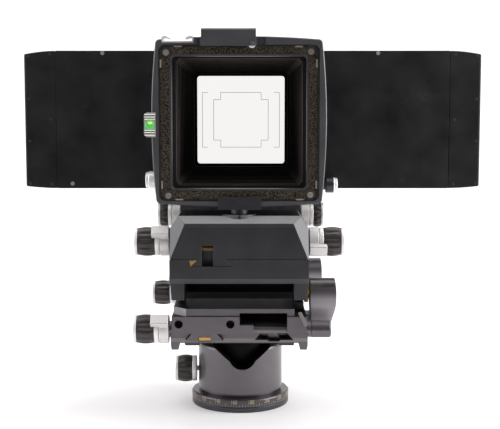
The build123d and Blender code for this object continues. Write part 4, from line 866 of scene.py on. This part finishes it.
def level_inlays():
    """White and black bars and the green vial on the lens side of the clear block."""
    low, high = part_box("spirit_level")
    face = low.y - 0.0001
    middle_x, middle_z = (low.x + high.x) / 2.0, (low.z + high.z) / 2.0
    half = (high.x - low.x) / 2.0 - 0.0006
    for name, material, spots, tall in (
        ("level_bars", level_white, (-0.0088, -0.0066, -0.0048, 0.0048, 0.0066, 0.0088), 0.0011),
        ("level_gaps", black_and_painted_shade, (-0.0077, -0.0057, 0.0057, 0.0077), 0.0009),
    ):
        shape = bmesh.new()
        for lift in spots:
            made = bmesh.ops.create_cube(shape, size=1.0)
            size = Matrix.Diagonal((2.0 * half, 0.0004, tall, 1.0))
            place = Matrix.Translation((middle_x, face, middle_z + lift))
            bmesh.ops.transform(shape, matrix=place @ size, verts=made["verts"])
        bars = as_piece(shape, name)
        finish_as(bars, material)
        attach(bars, "front_standard")
    for name, material, size, aside, ahead, lift in (
        ("level_vial", level_green, (half * 0.92, 0.0016, 0.0042), 0.0, 0.0, 0.0),
        ("level_bubble", level_bubble, (0.0019, 0.0008, 0.0013), 0.0003, 0.0013, 0.0016),
    ):
        shape = bmesh.new()
        bmesh.ops.create_uvsphere(shape, u_segments=32, v_segments=16, radius=1.0)
        place = Matrix.Translation((middle_x + aside, face - ahead, middle_z + lift))
        stretch = Matrix.Diagonal((*size, 1.0))
        bmesh.ops.transform(shape, matrix=place @ stretch, verts=shape.verts)
        vial = as_piece(shape, name)
        vial.data.shade_smooth()
        finish_as(vial, material)
        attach(vial, "front_standard")


level_inlays()

# ---------------------------------------------------------------------------------------
# Bellows: black pleated cloth, folded square, with diagonal folds at the corners. Both ends
# are glued to the frames. It is cut into spans here, one for each joint that it crosses.

BELLOWS_START = -0.0766
BELLOWS_END = 0.0706
BELLOWS_MID_Z = 0.2675
LENS_END_HALF = 0.062
BACK_END_HALF = 0.055
FOLD_DEPTH = 0.006
OUTER_CORNER = 0.0015
INNER_CORNER = 0.0037
CLOTH = 0.0009
FOLDS = 26
PLEAT = 0.0057
HIGHLIGHT_BAND = 0.0003
CHAIN = (
    ("front_standard", "front_tilt", 3),
    ("front_tilt", "front_riser", 2),
    ("front_riser", "front_carriage", 1),
    ("front_carriage", "bench", 7),
    ("bench", "rear_carriage", 7),
    ("rear_carriage", "rear_riser", 1),
    ("rear_riser", "rear_tilt", 2),
    ("rear_tilt", "rear_standard", 3),
)

bellows_cloth = worn_finish(
    "pleated_bellows_cloth", (0.012, 0.009, 0.009), (0.022, 0.018, 0.018), 0.7, grain=1800.0,
    blotch=140.0, bump=0.4, scuff=0.3, spec=0.15,
)
# Painted shade: a darker finish on the inner side of the bellows.
bellows_inside_painted_shade = worn_finish(
    "bellows_inside_painted_shade", (0.007, 0.0055, 0.0055), (0.014, 0.011, 0.011), 0.7, grain=1800.0,
    blotch=140.0, bump=0.4, scuff=0.3, spec=0.08,
)
# Painted highlight: light strips beside the inner folds of the bellows.
fold_painted_highlight = worn_finish(
    "fold_edge_painted_highlights", (0.070, 0.055, 0.052), (0.150, 0.119, 0.113), 0.5, blotch=90.0, spec=0.4
)


def fold_ring(index, inset):
    """Square ring of a fold line: outer folds have small corners, inner folds wide ones."""
    share = index / FOLDS
    out = abs((index % 2.0) - 1.0)
    half = LENS_END_HALF + (BACK_END_HALF - LENS_END_HALF) * share
    half -= FOLD_DEPTH * (1.0 - out) + inset
    corner = OUTER_CORNER + (INNER_CORNER - OUTER_CORNER) * (1.0 - out)
    y = BELLOWS_START + (BELLOWS_END - BELLOWS_START) * share
    points = []
    for turn in range(4):
        for along in (-(half - corner), -half / 3.0, half / 3.0, half - corner):
            x, z = ((along, -half), (half, along), (-along, half), (-half, -along))[turn]
            points.append(Vector((x, y, BELLOWS_MID_Z + z)))
    return points


def fold_steps(first, last):
    """Fold lines of a span, with one more line close on each side of an inner fold."""
    steps = []
    for index in range(first, last + 1):
        if index % 2 == 1 and index > first:
            steps += [index - HIGHLIGHT_BAND / PLEAT]
        steps.append(index)
        if index % 2 == 1 and index < last:
            steps += [index + HIGHLIGHT_BAND / PLEAT]
    return steps


def bellows_span(name, first, last):
    """Closed span of the bellows between two fold lines."""
    shape = bmesh.new()
    walls = []
    for inset in (0.0, CLOTH):
        rings = []
        for step in fold_steps(first, last):
            rings.append([shape.verts.new(point) for point in fold_ring(step, inset)])
        walls.append(rings)
    outer, inner = walls
    count = len(outer[0])
    for rings in walls:
        for before, after in zip(rings, rings[1:]):
            for side in range(count):
                beside = (side + 1) % count
                shape.faces.new((before[side], before[beside], after[beside], after[side]))
    for end in (0, -1):
        for side in range(count):
            beside = (side + 1) % count
            shape.faces.new(
                (outer[end][side], outer[end][beside], inner[end][beside], inner[end][side])
            )
    bmesh.ops.recalc_face_normals(shape, faces=shape.faces)
    return as_piece(shape, name)


def on_lining(centre, normal):
    """Faces on the inner side of the bellows."""
    return centre.x * normal.x + (centre.z - BELLOWS_MID_Z) * normal.z < 0.0


def on_inner_fold(centre, normal):
    """Narrow faces beside the inner folds of the lining, painted lighter as highlights on the fold
    edges.
    """
    step = (centre.y - BELLOWS_START) / (BELLOWS_END - BELLOWS_START) * FOLDS
    return abs(step % 2.0 - 1.0) < 0.13 and abs(normal.y) < 0.999 and on_lining(centre, normal)


fold = 0
for first_body, second_body, count in CHAIN:
    span = bellows_span(f"bellows_{first_body}_{second_body}", fold, fold + count)
    finish_as(span, bellows_cloth)
    paint_where(span, bellows_inside_painted_shade, on_lining)
    paint_where(span, fold_painted_highlight, on_inner_fold)
    start_y = fold_ring(fold, 0.0)[0].y
    end_y = fold_ring(fold + count, 0.0)[0].y
    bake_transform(span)
    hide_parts("bellows")
    fold += count

# ---------------------------------------------------------------------------------------
# Rear frame and guide panel: black anodised plates. The panel is a long guide with a shaped
# cap at each end, and the carriage of the sliding back runs in it.

panel_black = worn_finish(
    "panel_black_anodised", (0.007, 0.007, 0.0075), (0.021, 0.021, 0.022), 0.5, blotch=35.0,
    scuff=0.5, spec=0.15, contrast=2.0, scuff_size=26.0,
)
WINDOW_MID_Z = BELLOWS_MID_Z
WINDOW_REACH = 0.0500
GLASS_FRONT = 0.0961
# The rear frame takes the deepest black, which also paints its inner edges dark as shade round the
# glass.
rear_plate = eased("rear_frame", 0.0002, black_and_painted_shade, windowed=True)
window_painted_shade = worn_finish(
    "window_painted_shade", (0.0008, 0.0008, 0.0009), (0.0018, 0.0018, 0.0019), 0.9, scuff=0.0, spec=0.02
)


def round_window(centre, normal):
    """Faces in and close round the picture window, which are painted near black as shade."""
    beside = abs(centre.x) < WINDOW_REACH and abs(centre.z - WINDOW_MID_Z) < WINDOW_REACH
    return beside and centre.y < GLASS_FRONT


guide = eased("back_panel", 0.0003, panel_black, windowed=True)
paint_where(guide, window_painted_shade, round_window)
paint_where(rear_plate, window_painted_shade, round_window)
eased("panel_end_caps", 0.0012, panel_black, angle=30.0, segments=3)
back_slide = eased("back_carriage", 0.0003, panel_black, windowed=True)
paint_where(back_slide, window_painted_shade, round_window)
for side, cap_x in (("left", 0.0845), ("right", 0.0905)):
    knob = eased(f"back_lock_knob_{side}", 0.0003, satin_black)
    paint_where(knob, knob_metal, lambda centre, normal, start=cap_x: abs(centre.x) > start)


def screw_column(name, rows, spacing, radius, x, y, z, material, body):
    """Column of flush socket screws that face the lens side, at even distances."""
    piece, tree = tree_modifier(
        name, {"Rows": rows, "Spacing": spacing, "Radius": radius, "X": x, "Y": y, "Z": z}
    )
    inside = tree.nodes.new("NodeGroupInput")
    start = tree.nodes.new("ShaderNodeCombineXYZ")
    for axis in ("X", "Y", "Z"):
        link(tree, inside.outputs[axis], start.inputs[axis])
    gap = tree.nodes.new("ShaderNodeCombineXYZ")
    link(tree, inside.outputs["Spacing"], gap.inputs["Z"])
    column = tree.nodes.new("GeometryNodeMeshLine")
    link(tree, inside.outputs["Rows"], column.inputs["Count"])
    link(tree, start.outputs["Vector"], column.inputs["Start Location"])
    link(tree, gap.outputs["Vector"], column.inputs["Offset"])
    rim = add_node(tree, "GeometryNodeMeshCylinder", {"Vertices": 24, "Depth": 0.0008})
    link(tree, inside.outputs["Radius"], rim.inputs["Radius"])
    socket = add_node(tree, "GeometryNodeMeshCylinder", {"Vertices": 6, "Depth": 0.0008})
    socket_share = {1: 0.55}
    half = add_node(tree, "ShaderNodeMath", socket_share, operation="MULTIPLY")
    link(tree, inside.outputs["Radius"], half.inputs[0])
    link(tree, half.outputs["Value"], socket.inputs["Radius"])
    sink = add_node(tree, "GeometryNodeTransform", {"Translation": (0.0, 0.0, 0.0003)})
    link(tree, socket.outputs["Mesh"], sink.inputs["Geometry"])
    hollow = add_node(tree, "GeometryNodeMeshBoolean", operation="DIFFERENCE")
    link(tree, rim.outputs["Mesh"], hollow.inputs["Mesh 1"])
    link(tree, sink.outputs["Geometry"], hollow.inputs["Mesh 2"])
    facing = {"Rotation": (math.radians(90.0), 0.0, 0.0)}
    spread = add_node(tree, "GeometryNodeInstanceOnPoints", facing)
    link(tree, column.outputs["Mesh"], spread.inputs["Points"])
    link(tree, hollow.outputs["Mesh"], spread.inputs["Instance"])
    close_tree(tree, spread.outputs["Instances"], material)
    settle(piece)
    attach(piece, body)


screw_black = worn_finish(
    "blackened_screw_steel", (0.020, 0.019, 0.019), (0.050, 0.046, 0.044), 0.4, spec=0.5
)
panel_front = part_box("back_panel")[0].y
for number, (rows, spacing, x, z) in enumerate((
    (4, 0.043, -0.2155, 0.203), (4, 0.043, 0.240, 0.203),
    (3, 0.066, -0.1935, 0.202), (3, 0.066, 0.2175, 0.202),
)):
    screw_column(
        f"panel_screws_{number}", rows, spacing, 0.0014, x, panel_front + 0.0002, z, screw_black,
        "rear_standard",
    )

stud_metal = worn_finish(
    "worn_stud_metal", (0.20, 0.18, 0.175), (0.34, 0.315, 0.305), 0.5, metallic=0.4, bump=0.3
)
for number, (x, z) in enumerate(((-0.1402, 0.3350), (-0.1723, 0.2026), (0.1390, 0.3350))):
    cut_plate(
        f"panel_stud_{number}", round_outline(x, z, 0.0021, 18), panel_front - 0.0004,
        panel_front + 0.0006, 0.0002, stud_metal, "rear_standard",
    )

# ---------------------------------------------------------------------------------------
# Ground glass: a pane ground on the lens side, held in the sliding back by a retaining
# frame. Fine printed lines on it mark three picture formats.

# Painted light: the pane and its lines glow, for the light that comes through the glass from
# behind.
ground = lit_through(
    "ground_glass_pane", (0.93, 0.92, 0.91), (1.0, 0.985, 0.975), 0.9,
    {"Roughness": 0.5, "Specular IOR Level": 0.0},
)
dress("ground_glass", ground)
line_ink = lit_through(
    "format_line_ink", (0.55, 0.54, 0.53), (0.6, 0.59, 0.58), 0.35, {"Roughness": 0.6}
)


def format_lines():
    """Outlines of two picture formats and the brackets of a third, on the lens side."""
    shape = bmesh.new()
    lift, ink, half_width = 0.00004, 0.00006, 0.00025
    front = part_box("ground_glass")[0].y - lift
    back = front + ink

    def line(x0, x1, z0, z1):
        left, right, foot, top = x0 - half_width, x1 + half_width, z0 - half_width, z1 + half_width
        corners = ((left, foot), (right, foot), (right, top), (left, top))
        lens_side = [shape.verts.new((x, front, WINDOW_MID_Z + z)) for x, z in corners]
        glass_side = [shape.verts.new((x, back, WINDOW_MID_Z + z)) for x, z in corners]
        shape.faces.new(lens_side)
        shape.faces.new(tuple(reversed(glass_side)))
        for index in range(4):
            after = (index + 1) % 4
            shape.faces.new(
                (lens_side[after], lens_side[index], glass_side[index], glass_side[after])
            )

    long_half, short_half, wide_half, bracket = 0.028, 0.02075, 0.0395, 0.0055
    for sign in (-1, 1):
        line(-short_half, short_half, sign * long_half, sign * long_half)
        line(sign * long_half, sign * long_half, -short_half, short_half)
        line(sign * wide_half, sign * wide_half, -long_half, long_half)
        for hand in (-1, 1):
            inner, outer = sorted((hand * short_half, hand * long_half))
            line(inner, outer, sign * short_half, sign * short_half)
            low, high = sorted((sign * short_half, sign * long_half))
            line(hand * short_half, hand * short_half, low, high)
            near, far = sorted((hand * wide_half, hand * (wide_half - bracket)))
            line(near, far, sign * long_half, sign * long_half)
    bmesh.ops.recalc_face_normals(shape, faces=shape.faces)
    return as_piece(shape, "format_lines")


lines = format_lines()
finish_as(lines, line_ink)
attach(lines, "sliding_back")

# ---------------------------------------------------------------------------------------
# Studio: a white paper sweep, a large soft light from above, one from each side, one on
# the background, and the camera where the photograph was taken.


def paper_sweep():
    """Floor that bends up into the background in a quarter turn."""
    bend_start, bend, front_edge, top, half_width = 1.6, 0.5, -0.6, 3.0, 4.0
    path = [(front_edge, 0.0)]
    for step in range(13):
        turn = math.radians(90.0 * step / 12)
        path.append((bend_start + bend * math.sin(turn), bend - bend * math.cos(turn)))
    path.append((bend_start + bend, top))
    shape = bmesh.new()
    before = None
    for y, z in path:
        now = [shape.verts.new((x, y, z)) for x in (-half_width, half_width)]
        if before:
            shape.faces.new((before[0], before[1], now[1], now[0]))
        before = now
    sheet = as_piece(shape, "paper_sweep")
    sheet.data.shade_smooth()
    return sheet


paper = lit_through(
    "white_paper", (0.86, 0.85, 0.85), (1.0, 0.985, 0.985), 0.10, {"Roughness": 0.9}
)
sweep = paper_sweep()
sweep.data.materials.append(paper)


def soft_light(name, place, target, width, height, power):
    """Rectangular light at a place, turned to its target."""
    data = bpy.data.lights.new(name, "AREA")
    data.shape = "RECTANGLE"
    data.size = width
    data.size_y = height
    data.energy = power
    lamp = bpy.data.objects.new(name, data)
    lamp.location = place
    lamp.rotation_euler = (Vector(target) - Vector(place)).to_track_quat("-Z", "Y").to_euler()
    bpy.context.scene.collection.objects.link(lamp)


soft_light("top_light", (0.0, 0.4, 1.5), (0.0, 0.25, 0.2), 2.2, 2.0, 14.0)
soft_light("left_light", (-1.3, -0.2, 0.7), (0.0, 0.0, 0.22), 1.1, 1.1, 12.0)
soft_light("right_light", (1.3, -0.2, 0.7), (0.0, 0.0, 0.22), 1.1, 1.1, 24.0)
soft_light("paper_light", (0.0, 1.0, 1.9), (0.0, 1.9, 0.6), 2.4, 0.8, 18.0)

world = bpy.data.worlds.new("studio_air")
world.use_nodes = True
air_tree = world.node_tree
air = air_tree.nodes["Background"]
air.inputs["Color"].default_value = (1.0, 0.99, 0.99, 1.0)
direction = air_tree.nodes.new("ShaderNodeTexCoord")
lens_side = air_tree.nodes.new("ShaderNodeSeparateXYZ")
link(air_tree, direction.outputs["Generated"], lens_side.inputs["Vector"])
dim_room = add_node(
    air_tree, "ShaderNodeMapRange",
    {"From Min": -0.95, "From Max": -0.45, "To Min": 0.12, "To Max": 0.52},
    interpolation_type="SMOOTHSTEP",
)
link(air_tree, lens_side.outputs["Y"], dim_room.inputs["Value"])
seen = air_tree.nodes.new("ShaderNodeLightPath")
air_strength = add_node(air_tree, "ShaderNodeMapRange", {"To Max": 1.0})
link(air_tree, seen.outputs["Is Camera Ray"], air_strength.inputs["Value"])
link(air_tree, dim_room.outputs["Result"], air_strength.inputs["To Min"])
link(air_tree, air_strength.outputs["Result"], air.inputs["Strength"])
bpy.context.scene.world = world
bpy.context.scene.view_settings.view_transform = "Standard"

LOOK_DOWN = 5.64
camera_data = bpy.data.cameras.new("camera")
camera_data.sensor_width = 36.0
camera_data.lens = 78.34
camera_data.clip_start = 0.05
camera = bpy.data.objects.new("camera", camera_data)
camera.location = (0.0093, -1.025, 0.2806)
camera.rotation_euler = (math.radians(90.0 - LOOK_DOWN), 0.0, 0.0)
bpy.context.scene.collection.objects.link(camera)
bpy.context.scene.camera = camera
